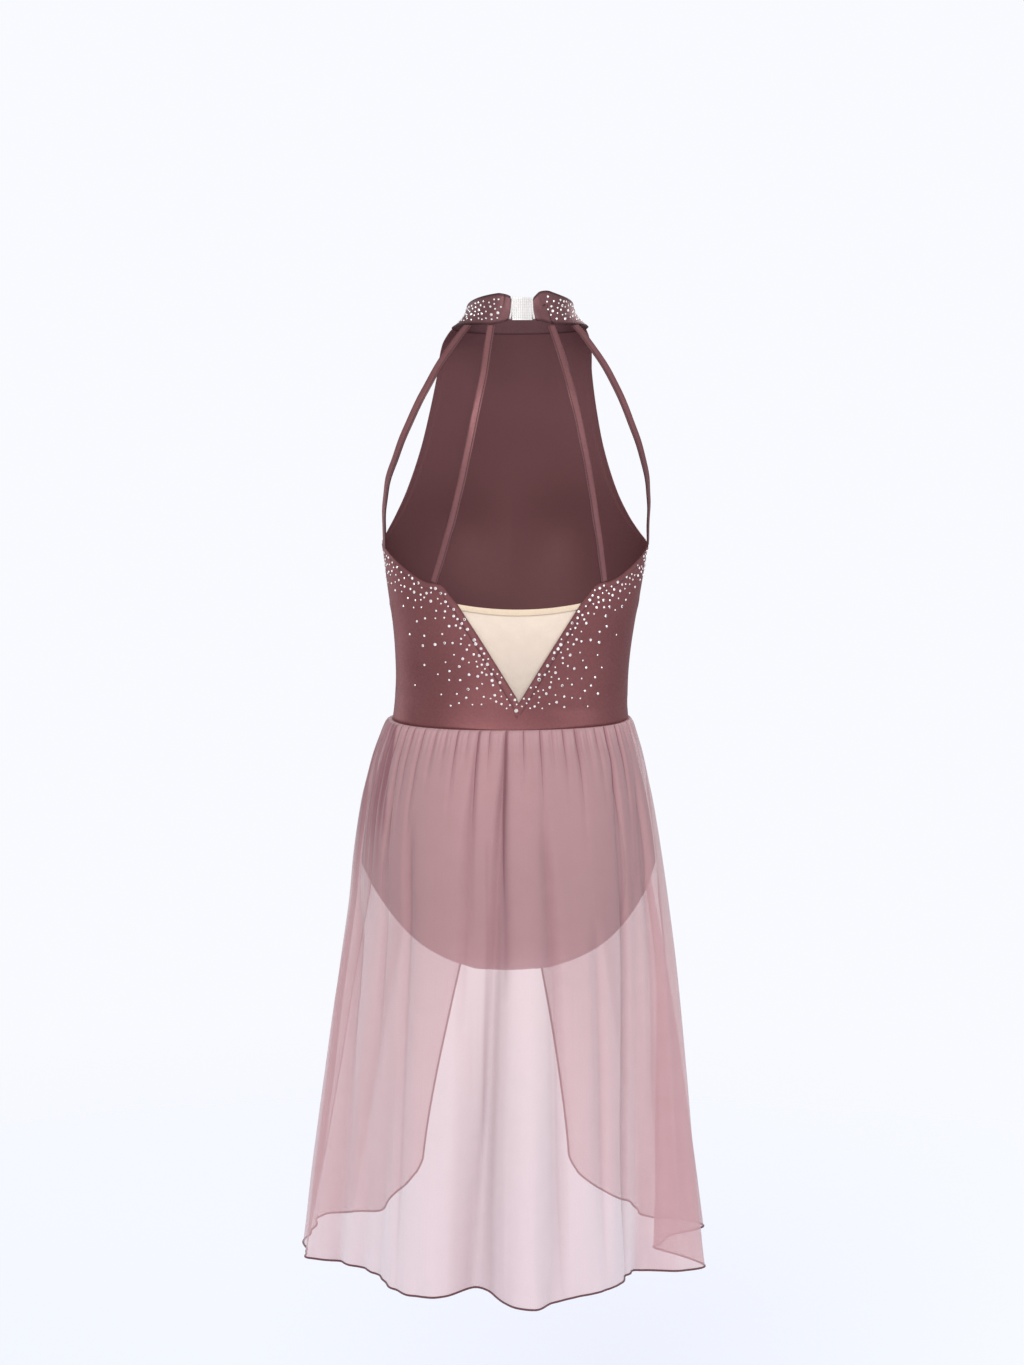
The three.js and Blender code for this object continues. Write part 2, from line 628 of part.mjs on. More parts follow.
// Gathers of the front, like those of the back but in another order
const frontGathers = Array.from({ length: FRONT_GATHERS }, (_, i) => {
  const like = GATHERS[(i * 7 + 3) % GATHERS.length];
  const even = 92 + (i + 0.5) * 176 / FRONT_GATHERS;
  return { at: even + 0.9 * Math.sin(i * 2.4), deep: like.deep, run: like.run };
});
const allGathers = [
  ...GATHERS,
  ...frontGathers.map((g) => ({ ...g, at: g.at > 180 ? g.at - 360 : g.at })),
].sort((a, b) => a.at - b.at);

// How far the skirt stands out of its section at an angle and share of its length
function foldOffset(angle, down) {
  const length = down * (WAIST_Z - HEM_Z);
  const grow = clamp01(down) ** 1.15;
  let out = read(FOLDS, 'at', 'out', angle) * grow;
  for (const c of CREASES) {
    const centre = mix(c.top, c.hem, down);
    const wide = mix(1.6, c.wide, clamp01(down * 2));
    const near = Math.exp(-(((angle - centre) / wide) ** 2));
    const rise = ease((down - c.from) / 0.14);
    const fade = 1 - ease((down - c.to + 0.3) / 0.3);
    out -= c.deep * near * rise * fade;
  }
  for (const g of allGathers) {
    if (length < g.run) {
      const wide = GATHER_WIDTH * (1 + 0.5 * length / g.run);
      const near = Math.exp(-(((angle - g.at) / wide) ** 2));
      const size = Math.min(1, 0.5 + length / 26) * (1 - length / g.run) ** 1.1;
      out -= g.deep * near * size;
    }
  }
  return out;
}

// Point of the skirt, folds and opening included; it never touches the brief
function skirtPoint(turn, down) {
  const edge = mix(OPENING_TOP, OPENING_HEM, ease(down) * 0.6 + down * 0.4);
  const angle = turn * edge;
  const clothAngle = turn * 180;
  const corner = clamp01((Math.abs(turn) - 1 + CORNER_SHARE) / CORNER_SHARE);
  const hem = HEM_Z + CORNER_RISE * (1 - Math.sqrt(1 - 0.96 * corner * corner));
  const z = mix(WAIST_Z - SEAM_GAP, hem, down);
  const section = { cy: 0, power: mix(SECTION_POWER, HEM_POWER, clamp01(down * 1.6)) };
  for (const column of ['cx', 'half', 'back', 'front']) {
    section[column] = read(SKIRT, 'z', column, z);
  }
  const out = foldOffset(clothAngle, down);
  const point = oval(section, angle, z, out);
  const inside = body(Math.max(z, -655), angle);
  const cx = section.cx;
  const clear = Math.hypot(inside[0] - cx, inside[1]) + 2.3;
  const reach = Math.hypot(point[0] - cx, point[1]);
  if (z > -660 && reach < clear) {
    const k = clear / reach;
    return [cx + (point[0] - cx) * k, point[1] * k, z];
  }
  return point;
}
const SKIRT_ROWS = [0, 0.012, 0.03, 0.06, 0.105, 0.17, 0.26, 0.37, 0.5, 0.64, 0.8, 1];
const skirtTurns = [-1, -0.993];
for (let i = 0; i < allGathers.length; i += 1) {
  const here = allGathers[i].at;
  const next = i + 1 < allGathers.length ? allGathers[i + 1].at : 180;
  const gap = next - here;
  skirtTurns.push(here / 180, (here + 0.27 * gap) / 180);
  skirtTurns.push((here + 0.5 * gap) / 180, (here + 0.73 * gap) / 180);
}
const lastTurn = skirtTurns.filter((turn) => turn < 0.994);
const skirtColumns = [...lastTurn, 1];
const skirtGrid = SKIRT_ROWS.map((down) => skirtColumns.map((turn) => skirtPoint(turn, down)));
add('skirt', wall(skirtGrid, CHIFFON_WALL), CHIFFON);

export default group;
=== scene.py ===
"""A lyrical dance dress in its hollow worn form: looks, sewing and stones on a fixed frame."""

import json
import logging
import math
from dataclasses import dataclass, field
from enum import Enum
from typing import Any, Callable, Sequence

import bmesh
import bpy
import numpy as np
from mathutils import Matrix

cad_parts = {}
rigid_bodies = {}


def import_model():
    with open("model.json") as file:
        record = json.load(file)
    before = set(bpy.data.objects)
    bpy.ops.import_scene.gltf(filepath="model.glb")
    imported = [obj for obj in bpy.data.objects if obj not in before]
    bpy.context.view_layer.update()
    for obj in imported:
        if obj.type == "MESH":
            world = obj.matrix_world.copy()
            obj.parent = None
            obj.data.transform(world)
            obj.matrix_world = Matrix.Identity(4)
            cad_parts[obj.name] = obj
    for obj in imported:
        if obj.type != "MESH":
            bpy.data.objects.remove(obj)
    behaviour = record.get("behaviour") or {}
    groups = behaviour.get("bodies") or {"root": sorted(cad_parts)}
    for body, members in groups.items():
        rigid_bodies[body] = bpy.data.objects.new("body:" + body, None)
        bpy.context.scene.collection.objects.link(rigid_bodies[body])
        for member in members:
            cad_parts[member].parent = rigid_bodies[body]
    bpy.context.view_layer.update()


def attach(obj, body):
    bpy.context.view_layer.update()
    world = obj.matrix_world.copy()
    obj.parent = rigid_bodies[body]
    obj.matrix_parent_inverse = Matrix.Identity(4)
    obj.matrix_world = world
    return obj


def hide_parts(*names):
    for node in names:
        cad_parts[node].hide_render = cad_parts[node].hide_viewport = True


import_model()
log = logging.getLogger("dress")

MM = 0.001
Array = np.ndarray
Piece = bpy.types.Object
Model = tuple[Array, list[tuple[int, ...]]]
Numbers = tuple[float, ...]
Places = list[tuple[float, float, float]]
BODICE_AXIS = (4.0, 0.0)  # x and y of the bodice's middle, in mm
SKIRT_AXIS = (12.0, 0.0)  # and of the skirt's
Colour = tuple[float, float, float]


# ---- The dress's form, in millimetres, from the same sizes as its solids ----


class Table:
    """A short table with named columns that is read smoothly between its rows."""

    def __init__(self, columns: str, rows: Sequence[Sequence[float]]) -> None:
        """Keeps the columns; the first one is the key.

        Args:
            columns: the names of the columns, split by spaces.
            rows: a row for each section, in order of the key.
        """
        self.names = columns.split()
        self.data = np.array(rows, float)

    def read(self, column: str, value: Array) -> Array:
        """Returns a column's values where the key has the given values.

        Args:
            column: the column's name.
            value: values of the key.

        Returns:
            The column's values, on a smooth curve through the rows.
        """
        key, values = self.data[:, 0], self.data[:, self.names.index(column)]
        last = len(key) - 1
        sign = 1.0 if key[-1] > key[0] else -1.0
        value = np.asarray(value, float)
        i = np.clip(np.searchsorted(sign * key, sign * value, side="right") - 1, 0, last - 1)
        span = key[i + 1] - key[i]
        k = held((value - key[i]) / span)

        def slope(j: Array) -> Array:
            """The curve's slope at a row, over one span."""
            after, before = np.minimum(j + 1, last), np.maximum(j - 1, 0)
            return (values[after] - values[before]) / (key[after] - key[before]) * span

        a, b = values[i], values[i + 1]
        smooth = a + (b - a) * k * k * (3 - 2 * k)
        return smooth + slope(i) * k * (1 - k) ** 2 - slope(i + 1) * k * k * (1 - k)

    def section(self, value: Array) -> dict[str, Array]:
        """Every column but the key, read at values of the key."""
        return {name: self.read(name, value) for name in self.names[1:]}

    @classmethod
    def numbered(cls, columns: str, rows: Sequence[Sequence[float]]) -> "Table":
        """A table whose key, called row, counts its rows from 0."""
        return cls("row " + columns, [(k, *row) for k, row in enumerate(rows)])


def held(value: Any) -> Any:
    """A value held between 0 and 1."""
    return np.clip(value, 0, 1)


def ease(value: Array) -> Array:
    """A smooth step from 0 to 1."""
    k = held(value)
    return k * k * (3 - 2 * k)


def mix(a: Any, b: Any, k: Any) -> Any:
    """The value a share k of the way from a to b."""
    return a + (b - a) * k


def bell(x: Any) -> Any:
    """1 at x = 0, falling smoothly to 0 on both sides."""
    return np.exp(-(x ** 2))


def unit(vectors: Array, least: float = 0.0) -> Array:
    """Vectors made 1 long, those shorter than the least length apart."""
    return vectors / np.maximum(np.linalg.norm(vectors, axis=-1, keepdims=True), least)


def square_to(vectors: Array, axis: Array) -> Array:
    """Unit vectors at right angles to an axis, nearest to the given ones."""
    return unit(vectors - axis * (axis * vectors).sum(-1, keepdims=True))


@dataclass
class DressForm:
    """Where the cloth lies: sections of the body, collar and skirt, with their folds."""

    seam_gap: float = 0.3
    waist_z: float = -406.0
    hem_z: float = -958.0
    underarm_z: float = -228.0
    v_top_z: float = -280.5
    v_apex_z: float = -378.0
    v_corner: float = 29.3
    v_lean: float = -1.2
    collar_end: float = 13.2
    collar_end_right: float = 9.6
    collar_taper: float = 16.0
    collar_centre: Numbers = (-0.8, 2.0)
    # the collar's heights at its sides, with how they change behind, in front and at the folded ends
    collar_seam: Numbers = (-14.4, 4.8, 7.4, 3.8)
    collar_top: Numbers = (7.6, 14.6, 5, 4.6)
    collar_hump: Numbers = (3.1, 7.5, 19)  # on its right: rise, degrees to its top, run after it
    collar_droop: Numbers = (1.4, 3.0)  # at its right end: fall and reach
    front_reach: float = 84.0
    front_tuck: float = 0.07
    front_blend: float = 0.045
    opening_top: float = 179.1
    opening_hem: float = 156.5
    corner_share: float = 0.12
    corner_rise: float = 58.0
    brief_clearance: float = 2.3
    brief_z: float = -660.0
    power: float = 2.25
    hem_power: float = 2.0
    gather_width: float = 1.25
    front_gathers: int = 27
    front_arc: Numbers = (92, 176)  # where the front's gathers begin, and over how many degrees
    cup: Numbers = (58, -232, 44, 50, 13)
    body_rows: Table = field(default_factory=lambda: Table("z cx cy half back front", [
        (0, 0, 2, 52, 56, 52), (-12, 0, 2, 60, 60, 56), (-24, 0, 2, 77, 66, 59.5),
        (-40, 0.3, 1.5, 97, 72, 63), (-60, 0.8, 1, 118, 78, 67), (-100, 1.6, 0.5, 138, 88, 77),
        (-150, 2.4, 0, 141, 93, 90), (-200, 3.2, 0, 138, 91, 99), (-230, 3.6, 0, 132.6, 88, 101),
        (-270, 4.4, 0, 127, 84, 98), (-310, 5.2, 0, 120.8, 82.5, 90), (-340, 6.2, 0, 117.6, 82, 84),
        (-370, 7.1, 0, 116.4, 82.3, 80), (-406, 8.5, 0, 118.6, 84.3, 80), (-440, 9.5, 0, 127, 92, 84),
        (-480, 10.5, 0, 138, 101, 88), (-520, 10.5, 0, 145, 107, 90), (-555, 10.5, 0, 149, 109, 89),
        (-590, 10.5, 0, 150, 106, 85), (-620, 10.5, 0, 149, 97, 78), (-660, 10.5, 0, 146, 84, 66)]))
    collar_rows: Table = field(default_factory=lambda: Table("up half back front", [
        (0, 67, 62, 58), (0.22, 60.8, 60.8, 56.2), (0.5, 55.3, 59, 54), (1, 51.3, 56.5, 51)]))
    edge_rows: Table = field(default_factory=lambda: Table("at z", [
        (29.3, -280.5), (32.5, -273), (36, -264), (39.5, -261.3), (44, -260.6), (50, -256.5),
        (56, -250.5), (63, -243.8), (71, -236.8), (80, -230.5), (90, -228)]))
    armhole_rows: Table = field(default_factory=lambda: Table("z x", [
        (-8, 60), (-16, 67.5), (-24, 72), (-40, 76), (-60, 78), (-100, 85), (-140, 94),
        (-180, 107), (-205, 118.5), (-220, 127.5), (-228, 133.1)]))
    skirt_rows: Table = field(default_factory=lambda: Table("z cx half back front", [
        (-406, 9.5, 123.4, 89.2, 85), (-411, 9.8, 126, 91.8, 87.5), (-418, 10.1, 128.8, 95, 90),
        (-438, 10.6, 136.2, 103, 97), (-459, 11, 141.8, 109, 101), (-490, 11.6, 148.8, 116, 106),
        (-541, 11.4, 157, 125, 112), (-593, 10, 163.5, 131, 120), (-645, 10.2, 171, 137, 130),
        (-698, 11.2, 178, 143, 140), (-761, 12.2, 185, 149, 151), (-824, 13.6, 192, 154, 163),
        (-888, 14.6, 199.5, 160, 175), (-958, 15.2, 206.5, 165, 188)]))
    fold_rows: Table = field(default_factory=lambda: Table("at out", [
        (-180, -2), (-171, 4), (-158, 3), (-144, -20), (-130, 4), (-119, 15), (-111, -30),
        (-102, -44), (-93, -48), (-84.5, -20), (-76, 13), (-68, 0), (-61.5, -22), (-54, -40),
        (-38.5, -10), (-29, 4), (-20, 3), (-12, 11), (-4.5, 30), (3, 12), (8.5, -22), (14, -29),
        (22, -8), (33, -1), (41, -8), (55, -30), (70, -34), (81, -26), (92, -4), (104, 1),
        (116, 2), (129, 6), (141, 16), (151, -2), (161, -16), (171, 2), (180, -4)]))
    creases: tuple[Numbers, ...] = (  # top, hem, wide, deep, from, to
        (4.2, 11.5, 3.2, 8, 0.0, 1.0), (17, 22, 3.2, 5, 0.02, 0.62), (44, 41, 3.4, 6, 0.12, 1.1),
        (58, 60, 3, 5, 0.05, 0.7), (84, 79, 3.6, 7, 0.02, 0.75), (-11, -15, 3.2, 6, 0.1, 1.1),
        (-29, -31, 3, 5, 0.3, 1.1), (-47, -46, 3.2, 8, 0.04, 1.1), (-63, -62, 3.2, 6, 0.05, 0.9),
        (-84, -81, 3.4, 6, 0.05, 1.1), (-114, -113, 3.4, 7, 0.04, 1.1),
        (-149, -147, 3.2, 6, 0.06, 0.9), (100, 100, 3.2, 7, 0.05, 1.1),
        (121, 122, 3.4, 8, 0.04, 1.1), (148, 150, 3.4, 6, 0.05, 1.1))
    gathers: tuple[Numbers, ...] = (  # angle, depth, run
        (89, 5.4, 190), (84.2, 5.8, 240), (79.2, 5.0, 150), (74.6, 6.0, 210), (69.4, 5.2, 230),
        (64, 4.8, 150), (58, 5.6, 220), (52.5, 4.8, 130), (45.6, 5.0, 170), (38.2, 4.6, 70),
        (32.4, 3.2, 55), (26.8, 4.8, 100),
        (21.4, 3.4, 50), (16.6, 5.6, 150), (11.4, 4.2, 70), (4.2, 6, 260), (-3.8, 4.4, 80),
        (-11.4, 4.8, 120), (-17, 3.4, 60), (-22.4, 4.4, 70), (-28.8, 5, 130), (-35, 3.4, 60),
        (-40.4, 4.2, 80), (-47.2, 5.4, 170), (-55.8, 5.6, 120), (-63, 3.6, 60), (-70, 4.8, 100),
        (-79, 3.8, 80))

    def oval(self, section: dict[str, Array], degrees: Array, z: Array, out: Array = 0.0,
             power: Array = 2.25) -> Array:
        """Returns points of an oval section with its own depths behind and in front.

        Args:
            section: the section's cx, cy, half, back and front.
            degrees: angles round the dress, 0 at the centre back.
            z: heights of the points.
            out: how far the points stand out of the section.
            power: how square the section is.

        Returns:
            Their x, y and z.
        """
        s, c = np.sin(np.radians(degrees)), np.cos(np.radians(degrees))
        depth = np.where(c >= 0, section["back"], section["front"])
        fall = np.maximum(0, 1 - np.abs(s) ** power) ** (1 / power)
        side = np.where(c >= 0, 1.0, -1.0)
        nx = np.sign(s) * np.abs(s) ** (power - 1) / section["half"]
        ny = side * fall ** (power - 1) / depth
        length = np.hypot(nx, ny)
        x = section["cx"] + section["half"] * s + out * nx / length
        y = section["cy"] + side * depth * fall + out * ny / length
        return np.stack(np.broadcast_arrays(x, y, z), -1)

    def body(self, z: Array, degrees: Array, out: Array = 0.0) -> Array:
        """Returns points of the leotard's surface at heights and angles.

        Args:
            z: heights.
            degrees: angles round the dress.
            out: how far they stand out of the cloth's middle.

        Returns:
            Their x, y and z.
        """
        z, degrees = np.broadcast_arrays(np.asarray(z, float), np.asarray(degrees, float))
        section = self.body_rows.section(z)
        p = self.oval(section, degrees, z, out, self.power)
        x, high, wide, tall, proud = self.cup
        front = p[..., 1] < section["cy"]
        dx = (np.abs(p[..., 0] - section["cx"]) - x) / wide
        p[..., 1] -= np.where(front, proud * np.exp(-dx * dx - ((z - high) / tall) ** 2), 0)
        return p

    def collar(self, up: Array, degrees: Array, out: Array = 0.0) -> Array:
        """Returns points of the collar band, which leans down towards the front.

        Args:
            up: share of the band's height, 0 at its lower, sewn edge and 1 at the top.
            degrees: angles round the band.
            out: how far they stand out of the cloth's middle.

        Returns:
            Their x, y and z.
        """
        up, degrees = np.broadcast_arrays(np.asarray(up, float), np.asarray(degrees, float))
        section = self.collar_rows.section(up)
        section |= {n: np.full_like(up, place) for n, place in zip(("cx", "cy"), self.collar_centre)}
        p = self.oval(section, degrees, up * 0, out, self.power)
        turn = np.cos(np.radians(degrees))
        behind, ahead = held(turn), held(-turn)
        from_back = np.degrees(np.arccos(np.clip(turn, -1, 1)))
        near = held(1 - (from_back - self.collar_end) / self.collar_taper) ** 1.6
        level, rise, fall, fold = self.collar_seam
        low = level + rise * np.minimum(1, behind * 2) - fall * ahead + fold * near
        level, rise, fall, fold = self.collar_top
        top = level + rise * behind - fall * ahead - fold * near
        right = np.sin(np.radians(degrees)) < 0
        reach = from_back - self.collar_end_right
        rise, peak, run = self.collar_hump
        top = top + right * rise * held(reach / peak) * bell(np.maximum(reach - peak, 0) / run)
        fall, run = self.collar_droop
        top = top - right * fall * bell(reach / run)
        p[..., 2] = mix(low, top, up)
        return p

    def back_edge(self, degrees: Array) -> Array:
        """Returns the height of the back bodice's upper edge, the V included.

        Args:
            degrees: angles round the dress, 0 at the centre back.

        Returns:
            Heights in millimetres.
        """
        a = np.abs(degrees)
        side = np.where(degrees < 0, -1.0, 1.0)
        reach = (a - side * self.v_lean) / (self.v_corner - side * self.v_lean)
        inner = mix(self.v_apex_z, self.v_top_z, held(reach))
        return np.where(a >= self.v_corner, self.edge_rows.read("z", a), inner)

    def v_reach(self, z: Array, side: int) -> Array:
        """Returns the angle of the V's edge at heights, on one side."""
        k = held((z - self.v_apex_z) / (self.v_top_z - self.v_apex_z))
        return mix(self.v_lean, side * self.v_corner, k)

    def front(self, across: Array, down: Array, out: Array = 0.0) -> Array:
        """Returns points of the front bodice.

        Args:
            across: -1 to 1 from one edge of the cloth to the other.
            down: 0 at the collar, 1 at the waist.
            out: how far they stand out of the cloth's middle.

        Returns:
            Their x, y and z.
        """
        across, down = np.broadcast_arrays(np.asarray(across, float), np.asarray(down, float))
        top = self.collar(self.front_tuck, 180 - across * self.front_reach, out * 0.3)
        z = mix(top[..., 2], self.waist_z + self.seam_gap, down)
        half = self.body_rows.read("half", z)
        cut = np.minimum(1, self.armhole_rows.read("x", z) / half)
        reach = np.where(z <= self.underarm_z, 90.0, np.degrees(np.arcsin(cut)))
        angle = 180 - across * np.minimum(reach, 90 - self.seam_gap * 0.22)
        k = ease(down / self.front_blend)[..., None]
        return mix(top, self.body(z, angle, out), k)

    def all_gathers(self) -> Places:
        """The gathers of the back and, in another order, of the front.

        Returns:
            An angle, a depth and a run for each, in order of the angle.
        """
        found = list(self.gathers)
        first, arc = self.front_arc
        for i in range(self.front_gathers):
            like = self.gathers[(i * 7 + 3) % len(self.gathers)]
            at = first + (i + 0.5) * arc / self.front_gathers + 0.9 * math.sin(i * 2.4)
            found.append((at - 360 if at > 180 else at, like[1], like[2]))
        return sorted(found)

    def crease_span(self, down: Array, begin: float, end: float) -> Array:
        """How much of a crease shows at shares of the skirt's length: it fades in and out."""
        return ease((down - begin) / 0.14) * (1 - ease((down - end + 0.3) / 0.3))

    def fold_offset(self, angle: Array, down: Array) -> Array:
        """Returns how far the skirt stands out of its plain section.

        Args:
            angle: angles round the cloth, -180 to 180 from edge to edge.
            down: 0 at the waist, 1 at the hem.

        Returns:
            Distances in millimetres.
        """
        length = down * (self.waist_z - self.hem_z)
        out = self.fold_rows.read("out", angle) * held(down) ** 1.15
        for top, hem, wide, deep, begin, end in self.creases:
            spread = mix(1.6, wide, held(down * 2))
            near = bell((angle - mix(top, hem, down)) / spread)
            out = out - deep * near * self.crease_span(down, begin, end)
        for at, deep, run in self.all_gathers():
            rest = held(1 - length / run)
            wide = self.gather_width * (1 + 0.5 * np.minimum(length / run, 1))
            near = bell((angle - at) / (wide * 0.8))
            out = out - 0.62 * deep * near * np.minimum(1, 0.5 + length / 26) * rest ** 1.3
        return out

    def skirt(self, turn: Array, down: Array, extra: Array = 0.0) -> Array:
        """Returns points of the skirt, its folds and front opening included.

        Args:
            turn: -1 to 1 from one front edge round the back to the other.
            down: 0 at the waist, 1 at the hem.
            extra: finer folds, added to the large ones.

        Returns:
            Their x, y and z.
        """
        turn, down = np.broadcast_arrays(np.asarray(turn, float), np.asarray(down, float))
        angle = turn * mix(self.opening_top, self.opening_hem, ease(down) * 0.6 + down * 0.4)
        corner = held((np.abs(turn) - 1 + self.corner_share) / self.corner_share)
        hem = self.hem_z + self.corner_rise * (1 - np.sqrt(1 - 0.96 * corner * corner))
        z = mix(self.waist_z - self.seam_gap, hem, down)
        section = self.skirt_rows.section(z)
        section["cy"] = 0 * z
        power = mix(self.power, self.hem_power, held(down * 1.6))
        out = self.fold_offset(turn * 180, down) + extra
        point = self.oval(section, angle, z, out, power)
        inside = self.body(np.maximum(z, self.brief_z + 5), angle)
        clear = np.hypot(inside[..., 0] - section["cx"], inside[..., 1]) + self.brief_clearance
        reach = np.hypot(point[..., 0] - section["cx"], point[..., 1])
        k = np.where((z > self.brief_z) & (reach < clear), clear / reach, 1.0)
        point[..., 0] = section["cx"] + (point[..., 0] - section["cx"]) * k
        point[..., 1] *= k
        return point


# ---- Meshes ----


def new_piece(name: str, points: Array, faces: Sequence[Sequence[int]],
              smooth: bool = True) -> Piece:
    """Makes a mesh object at the origin from points in millimetres.

    Args:
        name: the piece's name.
        points: its points.
        faces: its faces, as indices of points.
        smooth: whether its faces are shaded smooth.

    Returns:
        The new object.
    """
    mesh = bpy.data.meshes.new(name)
    mesh.from_pydata((np.asarray(points).reshape(-1, 3) * MM).tolist(), [], [tuple(f) for f in faces])
    mesh.update()
    mesh.polygons.foreach_set("use_smooth", [smooth] * len(mesh.polygons))
    piece = bpy.data.objects.new(name, mesh)
    bpy.context.scene.collection.objects.link(piece)
    return piece


def add_values(piece: Piece, name: str, values: Array) -> None:
    """Stores one number for each point of a piece, for its material to read."""
    layer = piece.data.attributes.new(name, "FLOAT", "POINT")
    layer.data.foreach_set("value", np.asarray(values, np.float32).ravel())


def grid_faces(rows: int, columns: int, flip: bool = False) -> list[tuple[int, int, int, int]]:
    """The faces of a grid of points.

    Args:
        rows: rows of points, going down.
        columns: columns of points, going across.
        flip: turns the faces round.

    Returns:
        Four indices of points for each face.
    """
    i, j = np.meshgrid(np.arange(rows - 1), np.arange(columns - 1), indexing="ij")
    a = i * columns + j
    beside, under, across = a + 1, a + columns, a + columns + 1
    order = (a, under, across, beside) if flip else (a, beside, across, under)
    return np.stack(order, -1).reshape(-1, 4).tolist()


def cloth_uv(piece: Piece, grid: Array) -> None:
    """Gives a grid piece a UV map in metres along the cloth, for weave and knit.

    Args:
        piece: the piece, its points in the grid's order.
        grid: rows of points in millimetres.
    """
    across = np.zeros(grid.shape[:2])
    across[:, 1:] = np.cumsum(np.linalg.norm(np.diff(grid, axis=1), axis=-1), axis=1)
    across -= across[:, across.shape[1] // 2][:, None]
    down = np.zeros(grid.shape[:2])
    down[1:] = np.cumsum(np.linalg.norm(np.diff(grid, axis=0), axis=-1), axis=0)
    flat = np.stack([across, down], -1).reshape(-1, 2) * MM
    layer = piece.data.uv_layers.new(name="cloth")
    index = np.zeros(len(piece.data.loops), np.int32)
    piece.data.loops.foreach_get("vertex_index", index)
    layer.data.foreach_set("uv", flat[index].astype(np.float32).ravel())


def only(piece: Piece) -> None:
    """Makes a piece the one that is selected and active.

    Args:
        piece: the piece.
    """
    for other in bpy.context.view_layer.objects:
        other.select_set(False)
    piece.select_set(True)
    bpy.context.view_layer.objects.active = piece


def thicken(piece: Piece, wall: float, rim: float = 0.0) -> None:
    """Turns a sheet into a thin shell, with softened rims if a rim size is given.

    Args:
        piece: the sheet.
        wall: its thickness in millimetres.
        rim: how far its edges are rounded.
    """
    only(piece)
    shell = piece.modifiers.new("wall", "SOLIDIFY")
    shell.thickness, shell.offset, shell.use_even_offset = wall * MM, 0.0, True
    bpy.ops.object.modifier_apply(modifier="wall")
    if rim:
        bevel = piece.modifiers.new("rim", "BEVEL")
        bevel.width, bevel.segments, bevel.limit_method = rim * MM, 2, "ANGLE"
        bevel.angle_limit = math.radians(65)
        bpy.ops.object.modifier_apply(modifier="rim")
    piece.data.polygons.foreach_set("use_smooth", [True] * len(piece.data.polygons))


def cloth_grid(name: str, grid: Array, wall: float = 0.0, rim: float = 0.0, seam: Array | None = None,
               flip: bool = False) -> Piece:
    """Makes a piece of cloth on a grid of points.

    Args:
        name: the piece's name.
        grid: rows of points in millimetres.
        wall: the cloth's thickness, or 0 for a single sheer layer.
        rim: how far a thick cloth's edges are rounded.
        seam: how much painted shade each point has at folds, turned edges and stitch lines, if the cloth has
            any.
        flip: turns the faces round.

    Returns:
        The new object.
    """
    piece = new_piece(name, grid, grid_faces(*grid.shape[:2], flip))
    cloth_uv(piece, grid)
    if seam is not None:
        add_values(piece, "seam", seam)
    if wall:
        thicken(piece, wall, rim)
    return piece


def normals_of(grid: Array) -> Array:
    """Unit normals of a grid of points: its direction across times its direction down."""
    return unit(np.cross(np.gradient(grid, axis=1), np.gradient(grid, axis=0)), 1e-9)


def tube(name: str, path: Array, radius: float, sides: int) -> Piece:
    """Makes a closed round cord along a path.

    Args:
        name: the piece's name.
        path: the points it follows, in millimetres.
        radius: its radius.
        sides: points round it.

    Returns:
        The new object.
    """
    tangent = unit(np.gradient(path, axis=0))
    side = np.cross(tangent, np.array([0.0, 0.0, 1.0]))
    weak = np.linalg.norm(side, axis=1) < 0.2
    side[weak] = np.cross(tangent[weak], np.array([0.0, 1.0, 0.0]))
    for i in range(1, len(side)):  # carry the frame along, so that it never flips
        side[i] = side[i - 1] - tangent[i] * np.dot(side[i - 1], tangent[i])
        side[i] /= np.linalg.norm(side[i])
    side[0] /= np.linalg.norm(side[0])
    other = np.cross(tangent, side)
    angle = np.linspace(0, 2 * np.pi, sides, endpoint=False)[None, :]
    out, over = ((turn(angle) * radius)[..., None] for turn in (np.cos, np.sin))
    points = (path[:, None] + side[:, None] * out + other[:, None] * over).reshape(-1, 3)
    faces = []
    for i in range(len(path) - 1):
        for j in range(sides):
            k = (j + 1) % sides
            faces.append((i * sides + j, (i + 1) * sides + j, (i + 1) * sides + k, i * sides + k))
    faces.append(tuple(range(sides)))
    faces.append(tuple(reversed(range((len(path) - 1) * sides, len(path) * sides))))
    return fix_normals(new_piece(name, points, faces))


def fix_normals(piece: Piece) -> Piece:
    """Turns the faces of a closed piece outwards.

    Args:
        piece: the piece.

    Returns:
        The piece.
    """
    work = bmesh.new()
    work.from_mesh(piece.data)
    bmesh.ops.recalc_face_normals(work, faces=work.faces)
    work.to_mesh(piece.data)
    work.free()
    return piece


def scatter(name: str, model: Model, places: Array, axes: Array, sizes: Array) -> Piece:
    """Joins many copies of one small model into a single mesh.

    Args:
        name: the piece's name.
        model: the model's points, in its own axes, and its faces.
        places: a point in millimetres for each copy.
        axes: for each copy, three rows that are its model's x, y and z axes.
        sizes: for each copy, a scale for x, y and z.

    Returns:
        The new object.
    """
    points, faces = model
    scaled = points[None] * sizes[:, None, :]
    placed = np.einsum("cpk,ckx->cpx", scaled, axes) + places[:, None]
    all_faces = [tuple(v + c * len(points) for v in f) for c in range(len(places)) for f in faces]
    return new_piece(name, placed, all_faces, smooth=False)


def take_model(piece: Piece, above: float = -2.0) -> Model:
    """Takes a piece's points and faces as a model, and removes the piece.

    Args:
        piece: the piece, in its own axes.
        above: leaves out the faces whose normal's z is not over this.

    Returns:
        The model's points and faces.
    """
    mesh = piece.data
    points = np.array([v.co[:] for v in mesh.vertices])
    faces = [tuple(p.vertices) for p in mesh.polygons if p.normal.z > above]
    bpy.data.objects.remove(piece)
    bpy.data.meshes.remove(mesh)
    return points, faces


